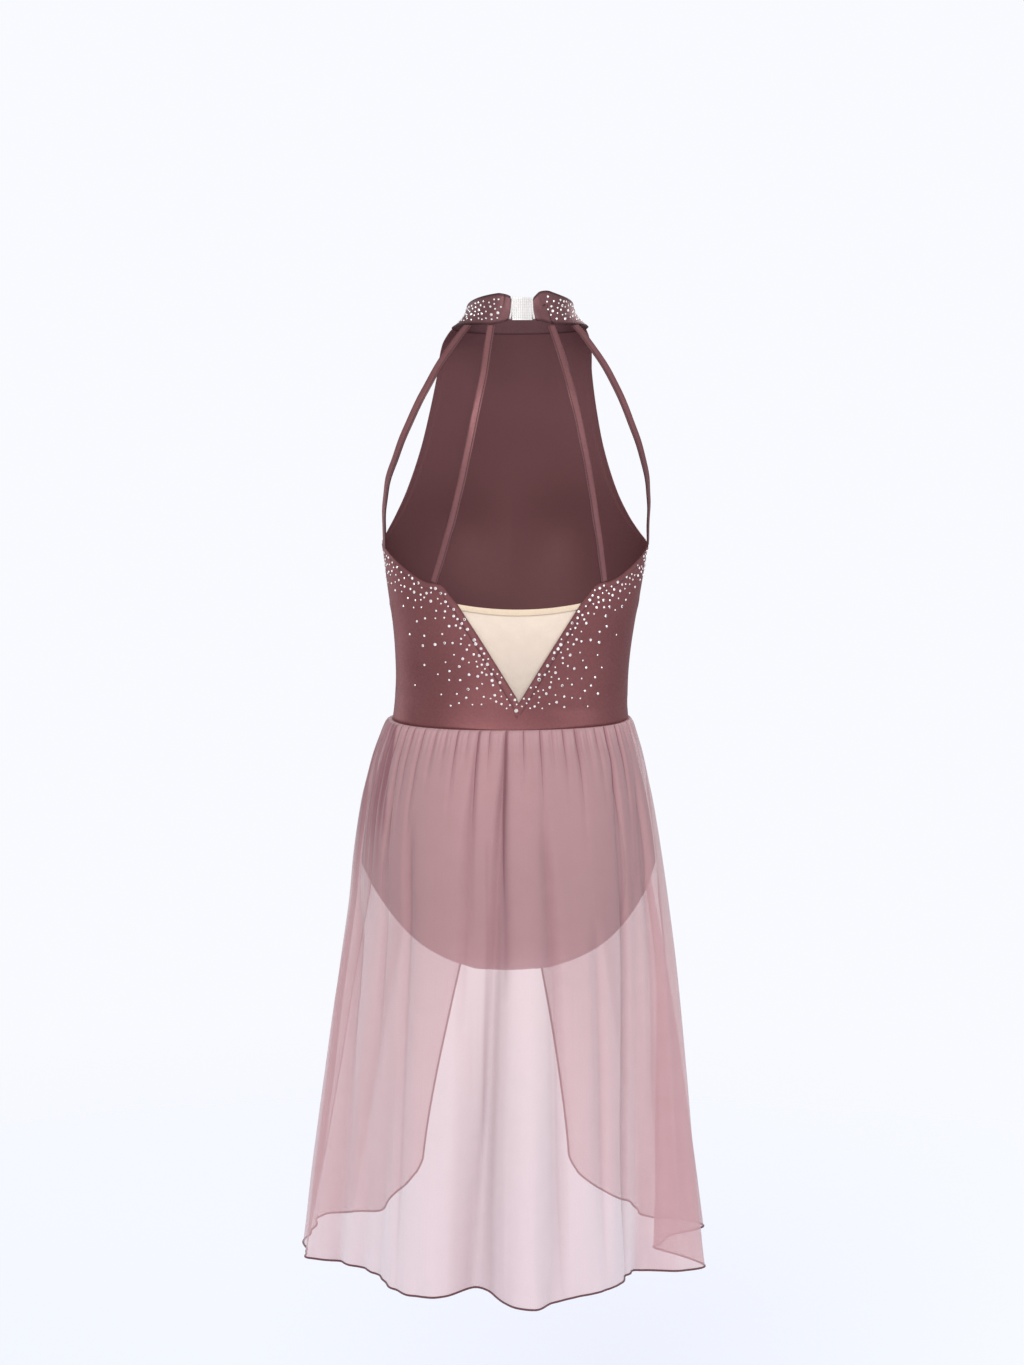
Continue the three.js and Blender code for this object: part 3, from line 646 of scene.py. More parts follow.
def on_cloth(surface: Callable[..., Array], first: Array, second: Array, lift: float) -> tuple[Array, Array]:
    """Finds a line that stands a little out of a surface of the dress.

    Args:
        surface: gives points from two places on the cloth and a distance out of it.
        first: the first place of each point.
        second: the second place of each point.
        lift: how far the line stands out.

    Returns:
        The line's points, and the cloth's outward direction at each.
    """
    line = surface(first, second, lift)
    return line, unit(line - surface(first, second))


# ---- Shader graphs ----


class Wire:
    """A socket that can be used in expressions; each operation adds its Math node."""

    def __init__(self, graph: "Graph", socket: Any) -> None:
        """Keeps the socket and the graph it is in."""
        self.graph, self.socket = graph, socket

    def _math(self, operation: str, *values: Any) -> "Wire":
        """Adds a Math node for an operation on values."""
        return self.graph.out("Math", {"operation": operation}, dict(enumerate(values)))

    def __add__(self, other: Any) -> "Wire":
        """Sum."""
        return self._math("ADD", self, other)

    __radd__ = __add__

    def __sub__(self, other: Any) -> "Wire":
        """Difference."""
        return self._math("SUBTRACT", self, other)

    def __rsub__(self, other: Any) -> "Wire":
        """Difference, the other way round."""
        return self._math("SUBTRACT", other, self)

    def __mul__(self, other: Any) -> "Wire":
        """Product."""
        return self._math("MULTIPLY", self, other)

    __rmul__ = __mul__

    def sine(self) -> "Wire":
        """Sine of the value."""
        return self._math("SINE", self)

    def ribs(self, pitch: float) -> "Wire":
        """Soft ribs from 0 to 1, a pitch apart along the value."""
        return (self * (2 * math.pi / pitch)).sine() * 0.5 + 0.5

    def span(self, low: float, high: float, to_low: float = 0.0, to_high: float = 1.0) -> "Wire":
        """The value mapped from one range to another, held at its ends."""
        return self.graph.out("MapRange", {"clamp": True}, {
            "Value": self, "From Min": low, "From Max": high, "To Min": to_low, "To Max": to_high})


class Graph:
    """A material's nodes."""

    def __init__(self, name: str) -> None:
        """Starts a new material with an output and a Principled shader.

        Args:
            name: the material's name.
        """
        self.material = bpy.data.materials.new(name)
        self.material.use_nodes = True
        self.tree = self.material.node_tree
        self.tree.nodes.clear()
        self.output = self.tree.nodes.new("ShaderNodeOutputMaterial")
        self.shader = self.tree.nodes.new("ShaderNodeBsdfPrincipled")
        self.tree.links.new(self.shader.outputs[0], self.output.inputs["Surface"])

    def node(self, kind: str, settings: dict[str, Any] | None = None,
             values: dict[Any, Any] | None = None) -> Any:
        """Adds a node, with its settings first and then its sockets' values or links.

        Args:
            kind: the node's type, without its ShaderNode.
            settings: its properties, or a ramp's stops under "stops".
            values: for its sockets, by name or number, a value or a Wire.

        Returns:
            The node.
        """
        node = self.tree.nodes.new("ShaderNode" + kind)
        for key, value in (settings or {}).items():
            if key == "stops":
                while len(node.color_ramp.elements) < len(value):
                    node.color_ramp.elements.new(0.5)
                for element, (place, colour) in zip(node.color_ramp.elements, value):
                    element.position, element.color = place, (*colour, 1)
            else:
                setattr(node, key, value)
        for key, value in (values or {}).items():
            self.feed(node.inputs[key], value)
        return node

    def feed(self, socket: Any, value: Any) -> None:
        """Links a Wire to a socket, or sets the socket's own value.

        Args:
            socket: a node's input.
            value: a Wire, a number, or a colour with or without its alpha.
        """
        if isinstance(value, Wire):
            self.tree.links.new(value.socket, socket)
        elif isinstance(value, (tuple, list)) and len(value) == 3 and len(socket.default_value) == 4:
            socket.default_value = (*value, 1)
        else:
            socket.default_value = value

    def out(self, kind: str, settings: dict[str, Any] | None = None, values: dict[Any, Any] | None = None,
            name: Any = 0) -> Wire:
        """Adds a node and returns one of its outputs as a Wire."""
        return Wire(self, self.node(kind, settings, values).outputs[name])

    def place(self) -> Wire:
        """The point's place on its object."""
        return self.out("TexCoord", name="Object")

    def weave(self) -> Wire:
        """The point's place along the cloth, in metres."""
        return self.out("UVMap", {"uv_map": "cloth"}, name="UV")

    def value(self, name: str) -> Wire:
        """A number that the mesh holds for each of its points."""
        return self.out("Attribute", {"attribute_name": name}, name="Fac")

    def noise(self, scale: float, detail: float = 2.0, where: Wire | None = None) -> Wire:
        """Soft noise from 0 to 1."""
        return self.out("TexNoise", {}, {
            "Vector": where or self.place(), "Scale": scale, "Detail": detail})

    def split(self, vector: Wire) -> tuple[Wire, Wire, Wire]:
        """A vector's three parts."""
        parts = self.node("SeparateXYZ", {}, {0: vector}).outputs
        return Wire(self, parts[0]), Wire(self, parts[1]), Wire(self, parts[2])

    def join(self, *parts: Any) -> Wire:
        """A vector from its parts."""
        return self.out("CombineXYZ", {}, dict(enumerate(parts)))

    def blend(self, share: Any, a: Any, b: Any) -> Wire:
        """A colour a share of the way from a to b."""
        return self.out("Mix", {"data_type": "RGBA"}, {0: share, 6: a, 7: b}, 2)

    def bump(self, height: Wire, strength: float, distance: float) -> Wire:
        """A normal from a height."""
        values = {"Strength": strength, "Distance": distance, "Height": height}
        return self.out("Bump", {}, values, "Normal")

    def dress(self, **values: Any) -> bpy.types.Material:
        """Feeds the Principled shader's sockets.

        Args:
            values: a value or a Wire for each socket, its name written with _ for spaces.

        Returns:
            The material.
        """
        for key, value in values.items():
            self.feed(self.shader.inputs[key.replace("_", " ")], value)
        return self.material


def mark_inside(piece: Piece) -> None:
    """Marks the faces of a thin shell that look towards the dress's inside.

    Args:
        piece: the shell.
    """
    count = len(piece.data.polygons)
    middle, normal = np.zeros(count * 3, np.float32), np.zeros(count * 3, np.float32)
    piece.data.polygons.foreach_get("center", middle)
    piece.data.polygons.foreach_get("normal", normal)
    away = middle.reshape(-1, 3)[:, :2] - np.array(BODICE_AXIS) * MM
    facing = (away * normal.reshape(-1, 3)[:, :2]).sum(1) / np.maximum(np.linalg.norm(away, axis=1), 1e-6)
    layer = piece.data.attributes.new("inner", "FLOAT", "FACE")
    layer.data.foreach_set("value", (facing < -0.15).astype(np.float32))


def put_on(material: bpy.types.Material, *pieces: Piece) -> None:
    """Makes a material the only one on pieces.

    Args:
        material: the material.
        pieces: the pieces it goes on.
    """
    for piece in pieces:
        piece.data.materials.clear()
        piece.data.materials.append(material)


@dataclass(frozen=True)
class StretchCloth:
    """Metallic dance spandex: a fine knit with a soft foil sheen."""

    name: str = "mauve_spandex"
    light: Colour = (0.285, 0.113, 0.118)
    dark: Colour = (0.150, 0.053, 0.057)
    metal: float = 0.46
    rough: float = 0.40
    rib: float = 0.0009
    lining: Colour = (0.125, 0.052, 0.056)
    shadow: Colour = (0.022, 0.008, 0.009)
    tint: Colour = (0.80, 0.50, 0.52)

    def material(self) -> bpy.types.Material:
        """Builds the cloth's nodes.

        Returns:
            The material.
        """
        g = Graph(self.name)
        across, down, _ = g.split(g.weave())
        ribs = across.ribs(self.rib)
        loops = down.ribs(self.rib * 1.3)
        cloudy = g.noise(9, 3)
        fine = g.noise(420, 2)
        foil = g.out("TexVoronoi", {}, {"Vector": g.place(), "Scale": 1500.0}, "Color")
        glint = Wire(g, g.node("SeparateColor", {}, {0: foil}).outputs[0])
        tone = cloudy.span(0.3, 0.7, 0.25, 0.75) + (fine - 0.5) * 0.35 + (ribs - 0.5) * 0.12
        colour = g.blend(tone, self.dark, self.light)
        # painted shade at turned edges, folds, rims and stitch lines, blended towards the shadow colour
        colour = g.blend(g.value("seam") * 0.8, colour, self.shadow)
        inner = g.value("inner")
        colour = g.blend(inner * 0.85, colour, self.lining)
        return g.dress(
            Base_Color=colour,
            Metallic=glint.span(0.2, 1.0, self.metal - 0.1, self.metal + 0.2) * (1 - inner * 0.9),
            Roughness=glint.span(0.0, 1.0, self.rough - 0.06, self.rough + 0.08) + inner * 0.25,
            Specular_Tint=self.tint,
            Normal=g.bump(ribs * 0.6 + loops * 0.4 + fine * 0.8, 0.25, 0.0002),
        )


@dataclass(frozen=True)
class ChiffonCloth:
    """Sheer crepe chiffon, denser where its folds stand edge on, darkened with painted shade in its folds and
    gathers.
    """

    name: str = "rose_chiffon"
    light: Colour = (0.63, 0.385, 0.405)
    dark: Colour = (0.270, 0.118, 0.138)
    thin: float = 0.545
    dense: float = 0.90
    crepe: float = 900.0

    def material(self) -> bpy.types.Material:
        """Builds the cloth's nodes.

        Returns:
            The material.
        """
        g = Graph(self.name)
        uv = g.weave()
        crepe = g.noise(self.crepe, 2, uv)
        slub = g.noise(45, 3, uv)
        deep = g.value("deep")
        dense = g.value("dense")
        _, down, _ = g.split(uv)
        turn = g.value("turn")
        # painted shade: dark, denser streaks for the fine gathers at the waist
        streak = g.noise(1.0, 2, g.join(turn * 210, down * 9)).span(0.5, 0.72) * g.value("waist")
        grain = g.noise(1.0, 2, g.join(turn * 700, down * 5)) - 0.5
        # painted shadow lines of the gathers: a sharp dark line with a soft tail to one side
        away = g.value("away")
        sharp = (away * away).span(0.0, 0.085, 1.0, 0.0)
        tail = away.span(-1.7, 0.0, 0.0, 0.42) * away.span(0.0, 0.15, 1.0, 0.0)
        line = (sharp * 0.85 + tail) * g.value("pull")
        # painted shade in folds and hollows, with random slub and grain tone
        shade = deep * 0.75 + streak * 0.4 + (slub - 0.5) * 0.16 + grain * 0.16 + dense * 0.12 + line
        colour = g.blend(shade, self.light, self.dark)
        thick = (dense + streak * 0.5 + line * 0.45).span(0, 1, self.thin, self.dense)
        alpha = thick + (crepe - 0.5) * 0.08 + grain * 0.06
        return g.dress(
            Base_Color=colour,
            Alpha=alpha,
            Roughness=0.82,
            Specular_IOR_Level=0.25,
            Sheen_Weight=0.3,
            Sheen_Roughness=0.5,
            Normal=g.bump(crepe, 0.25, 0.0003),
        )


@dataclass(frozen=True)
class PowerMesh:
    """Nude stretch mesh with fine holes."""

    name: str = "nude_mesh"
    light: Colour = (0.93, 0.785, 0.65)
    dark: Colour = (0.55, 0.45, 0.385)
    hole: float = 0.0009
    solid: float = 0.88

    def material(self) -> bpy.types.Material:
        """Builds the mesh's nodes.

        Returns:
            The material.
        """
        g = Graph(self.name)
        uv = g.weave()
        cells = g.out("TexVoronoi", {"feature": "DISTANCE_TO_EDGE"}, {
            "Vector": uv, "Scale": 1 / self.hole, "Randomness": 0.25}, "Distance")
        thread = cells.span(0.05, 0.22, 1.0, 0.0)
        slub = g.noise(70, 2, uv)
        _, _, height = g.split(g.place())
        # painted shade: the mesh darkens towards the V's foot
        tone = thread * 0.3 + (slub - 0.5) * 0.3 + height.span(-0.376, -0.30, 0.0, 0.62)
        return g.dress(
            Base_Color=g.blend(tone, self.dark, self.light),
            Alpha=thread * (1 - self.solid) + self.solid - 0.03,
            Roughness=0.7,
            Sheen_Weight=0.25,
            Normal=g.bump(thread, 0.3, 0.0002),
        )


@dataclass(frozen=True)
class WovenElastic:
    """Narrow woven elastic with fine ribs along it."""

    name: str = "nude_elastic"
    light: Colour = (0.88, 0.725, 0.55)
    dark: Colour = (0.66, 0.50, 0.355)
    rib: float = 0.0011
    pick: float = 0.0008

    def material(self) -> bpy.types.Material:
        """Builds the elastic's nodes.

        Returns:
            The material.
        """
        g = Graph(self.name)
        across, down, _ = g.split(g.weave())
        ribs, picks = down.ribs(self.rib), across.ribs(self.pick)
        tone = ribs * 0.5 + picks * 0.25 + g.noise(200, 2) * 0.3
        return g.dress(
            Base_Color=g.blend(tone, self.dark, self.light), Roughness=0.7, Sheen_Weight=0.2,
            Normal=g.bump(ribs * 0.7 + picks * 0.3, 0.5, 0.0003))


@dataclass(frozen=True)
class SewingThread:
    """Spun thread, a little shiny."""

    name: str
    colour: Colour
    shade: Colour
    rough: float = 0.5

    def material(self) -> bpy.types.Material:
        """Builds the thread's nodes.

        Returns:
            The material.
        """
        g = Graph(self.name)
        twist = g.noise(1400, 1)
        return g.dress(
            Base_Color=g.blend(twist.span(0.3, 0.7), self.shade, self.colour),
            Roughness=self.rough, Sheen_Weight=0.3, Normal=g.bump(twist, 0.4, 0.0002))


@dataclass(frozen=True)
class CutCrystal:
    """Foil-backed glass rhinestones, their facets given painted glints and a faint painted glow."""

    name: str = "rhinestone"
    bright: Colour = (0.98, 0.95, 0.95)
    warm: Colour = (0.93, 0.80, 0.80)
    dim: Colour = (0.20, 0.17, 0.18)
    flash: Colour = (1.0, 1.0, 1.0)

    def material(self) -> bpy.types.Material:
        """Builds the stones' nodes.

        Returns:
            The material.
        """
        g = Graph(self.name)
        facet = g.value("facet")
        stops = [(0.0, self.dim), (0.16, self.dim), (0.3, self.warm), (0.6, self.bright), (1.0, self.flash)]
        colour = g.out("ValToRGB", {"stops": stops}, {0: facet}, "Color")
        # painted glints in the base colour, and a faint painted glow in the emission
        return g.dress(
            Base_Color=colour, Metallic=facet.span(0, 1, 0.9, 0.35), Roughness=facet.span(0, 1, 0.06, 0.16),
            Coat_Weight=1.0, Coat_Roughness=0.03,
            Emission_Color=colour, Emission_Strength=0.12)


@dataclass(frozen=True)
class ClearPlastic:
    """Clear moulded plastic, a little scuffed."""

    name: str = "clear_clasp"
    tint: Colour = (0.60, 0.572, 0.562)
    clear: Colour = (0.815, 0.795, 0.785)
    rib: float = 0.00209
    bar: float = 0.0026
    middle: float = 0.001

    def material(self) -> bpy.types.Material:
        """Builds the plastic's nodes.

        Returns:
            The material.
        """
        g = Graph(self.name)
        scuff = g.noise(90, 2)
        across, _, up = g.split(g.place())
        ribs, bars = (across - self.middle).ribs(self.rib), up.ribs(self.bar)
        # painted light and shade along the ribs and bars; the scuffs are wear
        tone = ribs * 0.55 + bars * 0.22 + scuff * 0.5
        return g.dress(
            Base_Color=g.blend(tone.span(0.15, 0.95), self.tint, self.clear),
            Roughness=scuff.span(0.3, 0.7, 0.28, 0.42),
            Transmission_Weight=0.06, IOR=1.47, Coat_Weight=0.2,
            Normal=g.bump(scuff, 0.05, 0.0004))


class Finish(Enum):
    """The dress's materials, each made when it is first asked for."""

    SPANDEX = StretchCloth()
    COLLAR = StretchCloth("collar_spandex", (0.185, 0.088, 0.094), (0.110, 0.046, 0.051), 0.28, 0.46)
    STRAP = StretchCloth("strap_spandex", (0.265, 0.118, 0.124), (0.16, 0.064, 0.069), 0.36, 0.44)
    CHIFFON = ChiffonCloth()
    MESH = PowerMesh()
    ELASTIC = WovenElastic()
    MAUVE_THREAD = SewingThread("mauve_thread", (0.15, 0.055, 0.060), (0.08, 0.028, 0.032))
    HEM_THREAD = SewingThread("hem_thread", (0.155, 0.046, 0.060), (0.090, 0.025, 0.034), 0.7)
    DARK_THREAD = SewingThread("dark_thread", (0.060, 0.022, 0.026), (0.035, 0.012, 0.014))
    NUDE_THREAD = SewingThread("nude_thread", (0.84, 0.70, 0.56), (0.62, 0.49, 0.37))
    CRYSTAL = CutCrystal()
    PLASTIC = ClearPlastic()

    def get(self) -> bpy.types.Material:
        """Returns the material, which is built once."""
        return bpy.data.materials.get(self.value.name) or self.value.material()


def settle(piece: Piece, finish: Finish, slot: str, *replaced: str) -> Piece:
    """Dresses a piece, ties it to the body and hides the nodes it stands for.

    Args:
        piece: the finished piece.
        finish: its material.
        slot: not used.
        replaced: the names of nodes that it replaces.

    Returns:
        The piece.
    """
    put_on(finish.get(), piece)
    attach(piece, "root")
    if replaced:
        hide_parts(*replaced)
    triangles = sum(len(p.vertices) - 2 for p in piece.data.polygons)
    log.info("%s: %d triangles, %s", piece.name, triangles, finish.value.name)
    return piece


# ---- Sewing ----


def stitch_model() -> Model:
    """Models a stitch of unit length, width and height: a low rounded bar along its x axis.

    Returns:
        Its points and faces.
    """
    bpy.ops.object.select_all(action="DESELECT")
    bpy.ops.mesh.primitive_cylinder_add(vertices=6, radius=0.5, depth=1.0, rotation=(0, math.pi / 2, 0))
    bpy.ops.object.transform_apply(location=True, rotation=True, scale=True)
    bpy.ops.object.mode_set(mode="EDIT")
    bpy.ops.mesh.select_all(action="SELECT")
    bpy.ops.mesh.bevel(offset=0.16, segments=1, affect="EDGES")
    bpy.ops.object.mode_set(mode="OBJECT")
    return take_model(bpy.context.object)


def travelled(path: Array) -> Array:
    """How far along a path each of its points is."""
    return np.concatenate([[0], np.cumsum(np.linalg.norm(np.diff(path, axis=0), axis=1))])


def read_along(values: Array, path: Array, count: int) -> Array:
    """Reads values along a path at evenly spaced points of it.

    Args:
        values: a row for each point of the path.
        path: the points.
        count: how many points are read.

    Returns:
        The values there.
    """
    along = travelled(path)
    at = np.linspace(0, along[-1], count)
    return np.stack([np.interp(at, along, values[:, k]) for k in range(3)], -1)


def resample(path: Array, pitch: float) -> Array:
    """Points a fixed distance apart along a path."""
    count = max(2, int(travelled(path)[-1] / pitch))
    return read_along(path, path, count + 1)


@dataclass
class StitchRow:
    """A row of stitches along a path on the cloth."""

    path: Array
    outward: Array
    length: float = 2.4
    pitch: float = 3.4
    width: float = 0.55
    zigzag: float = 0.0

    def placed(self) -> tuple[Array, Array, Array]:
        """Works out where each stitch lies.

        Returns:
            Each stitch's place, axes and sizes.
        """
        points = resample(self.path, self.pitch if not self.zigzag else self.pitch / 2)
        out = read_along(self.outward, self.path, len(points))
        if self.zigzag:
            side = unit(np.cross(np.gradient(points, axis=0), out))
            points = points + side * (np.where(np.arange(len(points)) % 2, 1, -1) * self.zigzag)[:, None]
        middle = (points[:-1] + points[1:]) / 2
        along = points[1:] - points[:-1]
        gap = np.linalg.norm(along, axis=1, keepdims=True)
        x = along / gap
        z = square_to((out[:-1] + out[1:]) / 2, x)
        length = gap[:, 0] * 1.02 if self.zigzag else np.full(len(x), self.length)
        sizes = np.stack([length, np.full(len(x), self.width), np.full(len(x), self.width * 0.7)], 1)
        return middle, np.stack([x, np.cross(z, x), z], 1), sizes


def sew(name: str, rows: Sequence[StitchRow], finish: Finish, slot: str) -> Piece:
    """Joins rows of stitches into one piece and dresses it.

    Args:
        name: the piece's name.
        rows: the rows.
        finish: the thread.
        slot: the material slot of the cloth it is sewn on.

    Returns:
        The piece.
    """
    parts = [row.placed() for row in rows]
    places, axes, sizes = (np.concatenate([p[k] for p in parts]) for k in range(3))
    return settle(scatter(name, stitch_model(), places, axes, sizes), finish, slot)


def steps(*stretches: tuple[float, int]) -> Array:
    """Places along a range that is divided more finely in some of its stretches.

    Args:
        stretches: where each begins, and how many places it has, both ends counted. The last
            one holds only the range's end.

    Returns:
        The places, in order, each once.
    """
    parts = []
    for k, ((low, count), (high, _)) in enumerate(zip(stretches, stretches[1:])):
        places = np.linspace(low, high, count)
        parts.append(places if k == len(stretches) - 2 else places[:-1])
    return np.concatenate(parts)


# ---- Sub-assemblies ----


@dataclass
class Leotard:
    """Front and back bodice and the brief, as thin shells with turned edges."""

    form: DressForm
    wall: float = 1.2
    turned: float = 6.5
    turned_rise: float = 0.45
    stitch_in: float = 4.9
    stitch_width: float = 0.5
    near_side: float = 89.94
    join_z: float = -552.0
    curve: float = 1.75  # millimetres round the dress in a degree, about
    edge_steps: Numbers = (0, 0.6, 2, 4, 5.6, 6.2, 6.8, 7.4, 8.2)
    back_leg: Table = field(default_factory=lambda: Table.numbered("z y w half", [
        (-566, 108.6, 138.5, 149.5), (-579, 107.4, 129, 149.8), (-593, 105, 118, 150),
        (-608, 101.5, 104, 150), (-622, 95.4, 87, 149), (-635, 84.5, 65, 148), (-646, 66.5, 43, 146),
        (-653.4, 48, 33, 146), (-658.2, 31, 30.5, 146), (-660.6, 16, 30, 146), (-661.2, 0.15, 30, 146)]))
    front_leg: Table = field(default_factory=lambda: Table.numbered("z y w half", [
        (-566, 88.3, 131, 149.5), (-580, 86.4, 112, 149.8), (-596, 84, 88, 150), (-613, 79.6, 65, 150),
        (-630, 71, 47, 149), (-644, 57, 36, 148), (-653.4, 41, 31.5, 146), (-659.4, 22, 30, 146),
        (-661.2, 0.15, 30, 146)]))

    def raised(self, distance: Array) -> Array:
        """How far cloth stands out at a distance from a turned edge."""
        return self.turned_rise * (1 - ease((distance - self.turned + 0.5) / 0.9))

    def edge_line(self, distance: Array) -> Array:
        """How much painted shade cloth has at a distance from a turned edge: at its fold and along its
        stitches.
        """
        fold = 0.55 * bell(distance / 0.9)
        return fold + 0.42 * bell((distance - self.turned) / 0.8)

    def panel(self, name: str, grid: Array, seam: Array, flip: bool = False) -> Piece:
        """Makes a panel of the leotard.

        Args:
            name: the piece's name.
            grid: its points.
            seam: how much painted shade each point has at folds, turned edges and stitch lines.
            flip: turns the faces round.

        Returns:
            The panel, thickened, with its inside marked.
        """
        piece = cloth_grid(name, grid, self.wall, seam=seam, flip=flip)
        mark_inside(piece)
        return piece

    def stitched(self, surface: Callable[..., Array], first: Array, second: Array) -> StitchRow:
        """A row of stitches on the raised edge of a panel."""
        line, out = on_cloth(surface, first, second, self.wall / 2 + self.turned_rise + 0.05)
        return StitchRow(line, out, width=self.stitch_width)

    def front_bodice(self) -> None:
        """Builds the front panel, its folds of strain and its armhole edges."""
        rows = steps((0, 10), (0.05, 76), (0.55, 50), (1, 0))
        columns = np.sin(np.linspace(-1, 1, 121) * math.pi / 2 * 0.86) / math.sin(math.pi / 2 * 0.86)
        down, across = np.meshgrid(rows, columns, indexing="ij")
        plain = self.form.front(across, down)
        reach = np.linalg.norm(plain - plain[:, -1:], axis=-1)
        other = np.linalg.norm(plain - plain[:, :1], axis=-1)
        edge = np.minimum(reach, other)
        above = plain[..., 2] > self.form.underarm_z - 1
        lift = np.where(above, self.raised(edge), 0) + self.strain(plain)
        grid = self.form.front(across, down, lift)
        # painted shade along the armhole edges' folds and stitch lines
        piece = self.panel("front_bodice_cloth", grid, np.where(above, self.edge_line(edge), 0))
        settle(piece, Finish.SPANDEX, "spandex", "front_bodice")
        rows = [self.armhole_row(side) for side in (1, -1)]
        sew("armhole_stitches", rows, Finish.MAUVE_THREAD, "spandex")

    def armhole_row(self, side: int) -> StitchRow:
        """Places the stitches inside an armhole's edge.

        Args:
            side: 1 on the wearer's left, -1 on the right.

        Returns:
            The row of stitches.
        """
        top_z = -21.0
        lowest = (self.form.underarm_z + 4 - top_z) / (self.form.waist_z - top_z)
        shares = np.linspace(0.012, lowest, 60)
        edge = self.form.front(np.full(60, float(side)), shares)
        inner = self.form.front(np.full(60, side * 0.8), shares)
        width = np.linalg.norm(edge - inner, axis=1)
        at = side * (1 - 0.2 * self.stitch_in / width)
        return self.stitched(self.form.front, at, shares)

    def strain(self, p: Array) -> Array:
        """Faint folds where the stretch cloth pulls between bust, side and waist.

        Args:
            p: points of the cloth.

        Returns:
            How far the cloth stands out at each.
        """
        x, y, z = p[..., 0], p[..., 1], p[..., 2]
        side = bell((z + 262 + 0.22 * np.abs(x)) / 7) * ease((np.abs(x) - 70) / 30) * (y < 20)
        low = bell((z + 383 - 0.06 * x) / 5) * ease((np.abs(x - 30) - 34) / 40)
        mid = bell((z + 341 + 0.10 * x) / 8) * ease((90 - np.abs(x + 24)) / 60)
        return 0.55 * side - 0.5 * low + 0.28 * mid * (y < 0)

    def back_bodice(self) -> None:
        """Builds the low back with its V, and the stitches along its edges."""
        corner, middle = self.form.v_corner, self.form.v_lean
        outer = np.concatenate([np.linspace(corner, 44, 22)[:-1], np.linspace(44, 89.93, 46)])
        left = np.linspace(middle, corner, 44)[1:-1]
        right = -np.linspace(-middle, corner, 44)[:-1]
        angles = np.concatenate([-outer[::-1], right[::-1], left, outer])
        top = self.form.back_edge(angles)
        bottom = self.form.waist_z + self.form.seam_gap
        distance = np.array(self.edge_steps)
        rest = np.linspace(0, 1, 36)[1:]
        drop = (top - bottom)[None, :]
        slope = np.abs(np.gradient(top, angles))[None, :]
        stretch = np.sqrt(1 + (slope / self.curve) ** 2)
        near = np.minimum(distance[:, None] * stretch, drop * 0.55)
        far = near[-1:] + (drop - near[-1:]) * rest[:, None]
        depth = np.concatenate([near, far])
        z = top[None, :] - depth
        lift = self.raised(depth / stretch)
        plain = self.form.body(z, angles[None, :])
        grid = self.form.body(z, angles[None, :], lift + self.strain(plain))
        # painted shade along the V's and the neckline's turned edges and stitch lines, faded at the V's tip
        apex = 1 - bell((angles - self.form.v_lean) / 3.0)[None, :] * (depth > 2)
        piece = self.panel("back_bodice_cloth", grid, self.edge_line(depth / stretch) * apex)
        settle(piece, Finish.SPANDEX, "spandex", "back_bodice")
        rows = []
        for side, first in ((1, middle + 1.2), (-1, 2.4)):
            for low, high in ((first, corner - 0.6), (corner + 0.8, 88)):
                a = side * np.linspace(low, high, 50)
                edge = self.form.back_edge(a)
                tilt = np.sqrt(1 + (np.gradient(edge, np.abs(a)) / self.curve) ** 2)
                rows.append(self.stitched(self.form.body, edge - self.stitch_in * tilt, a))
        sew("neckline_stitches", rows, Finish.MAUVE_THREAD, "spandex")

    def seams(self) -> None:
        """Builds the side and waist seams as narrow joined folds."""
        z = np.linspace(self.form.underarm_z - 3, self.form.waist_z + 0.6, 60)
        for name, a in (("side_seam_left", 90.0), ("side_seam_right", -90.0)):
            path = self.form.body(z, np.full(60, a), 0.1)
            settle(tube(name, path, 0.75, 6), Finish.SPANDEX, "spandex")
        around = np.linspace(-180, 180, 361)[:-1]
        path = self.form.body(np.full(360, self.form.waist_z + 0.5), around, 0.5)
        path = np.vstack([path, path[:1] + (path[1:2] - path[:1]) * 0.4])
        settle(tube("waist_seam", path, 0.8, 8), Finish.SPANDEX, "spandex")

    def brief(self) -> None:
        """Builds the brief's two panels with their turned leg edges."""
        shares = np.linspace(-1, 1, 81)
        sides = (
            (1, "brief_back", self.back_leg, 0.40, 0.078),
            (-1, "brief_front", self.front_leg, 0.37, 0.069))
        for side, name, leg, width, area in sides:
            rows = []
            for z in np.linspace(self.form.waist_z - self.form.seam_gap, self.join_z, 40):
                a = shares * self.near_side if side > 0 else 180 - shares * self.near_side
                rows.append(self.form.body(np.full(81, z), a))
            for k in np.linspace(0, leg.data[-1, 0], 60):
                z, y, w, half = (float(value) for value in leg.section(np.array(k)).values())
                x = w * np.sin(shares * math.pi / 2)
                fall = (1 - np.abs(x / half) ** self.form.power) ** (1 / self.form.power)
                lift = 5 * (x / w) ** 2 * held((60 - y) / 60)
                cx = float(self.form.body_rows.read("cx", np.array(z)))
                rows.append(np.stack([cx + x, side * y * fall, z + lift], -1))
            grid = np.array(rows)
            normal = normals_of(grid)
            if normal[10, 40][1] * side < 0:
                normal = -normal
            edge = np.minimum(*(np.linalg.norm(grid - end, axis=-1) for end in (grid[:, :1], grid[:, -1:])))
            low = (np.arange(len(rows)) >= 40)[:, None]
            grid = grid + normal * np.where(low, 0.8 * self.raised(edge - 1), 0)[..., None]
            # painted shade at the leg edges' folds and stitch lines
            seam = np.where(low, self.edge_line(edge - 1), 0)
            piece = self.panel(f"{name}_cloth", grid, seam, flip=side < 0)
            settle(piece, Finish.SPANDEX, "spandex", name)

    def build(self) -> None:
        """Builds every part of the leotard."""
        self.front_bodice()
        self.back_bodice()
        self.brief()
        self.seams()


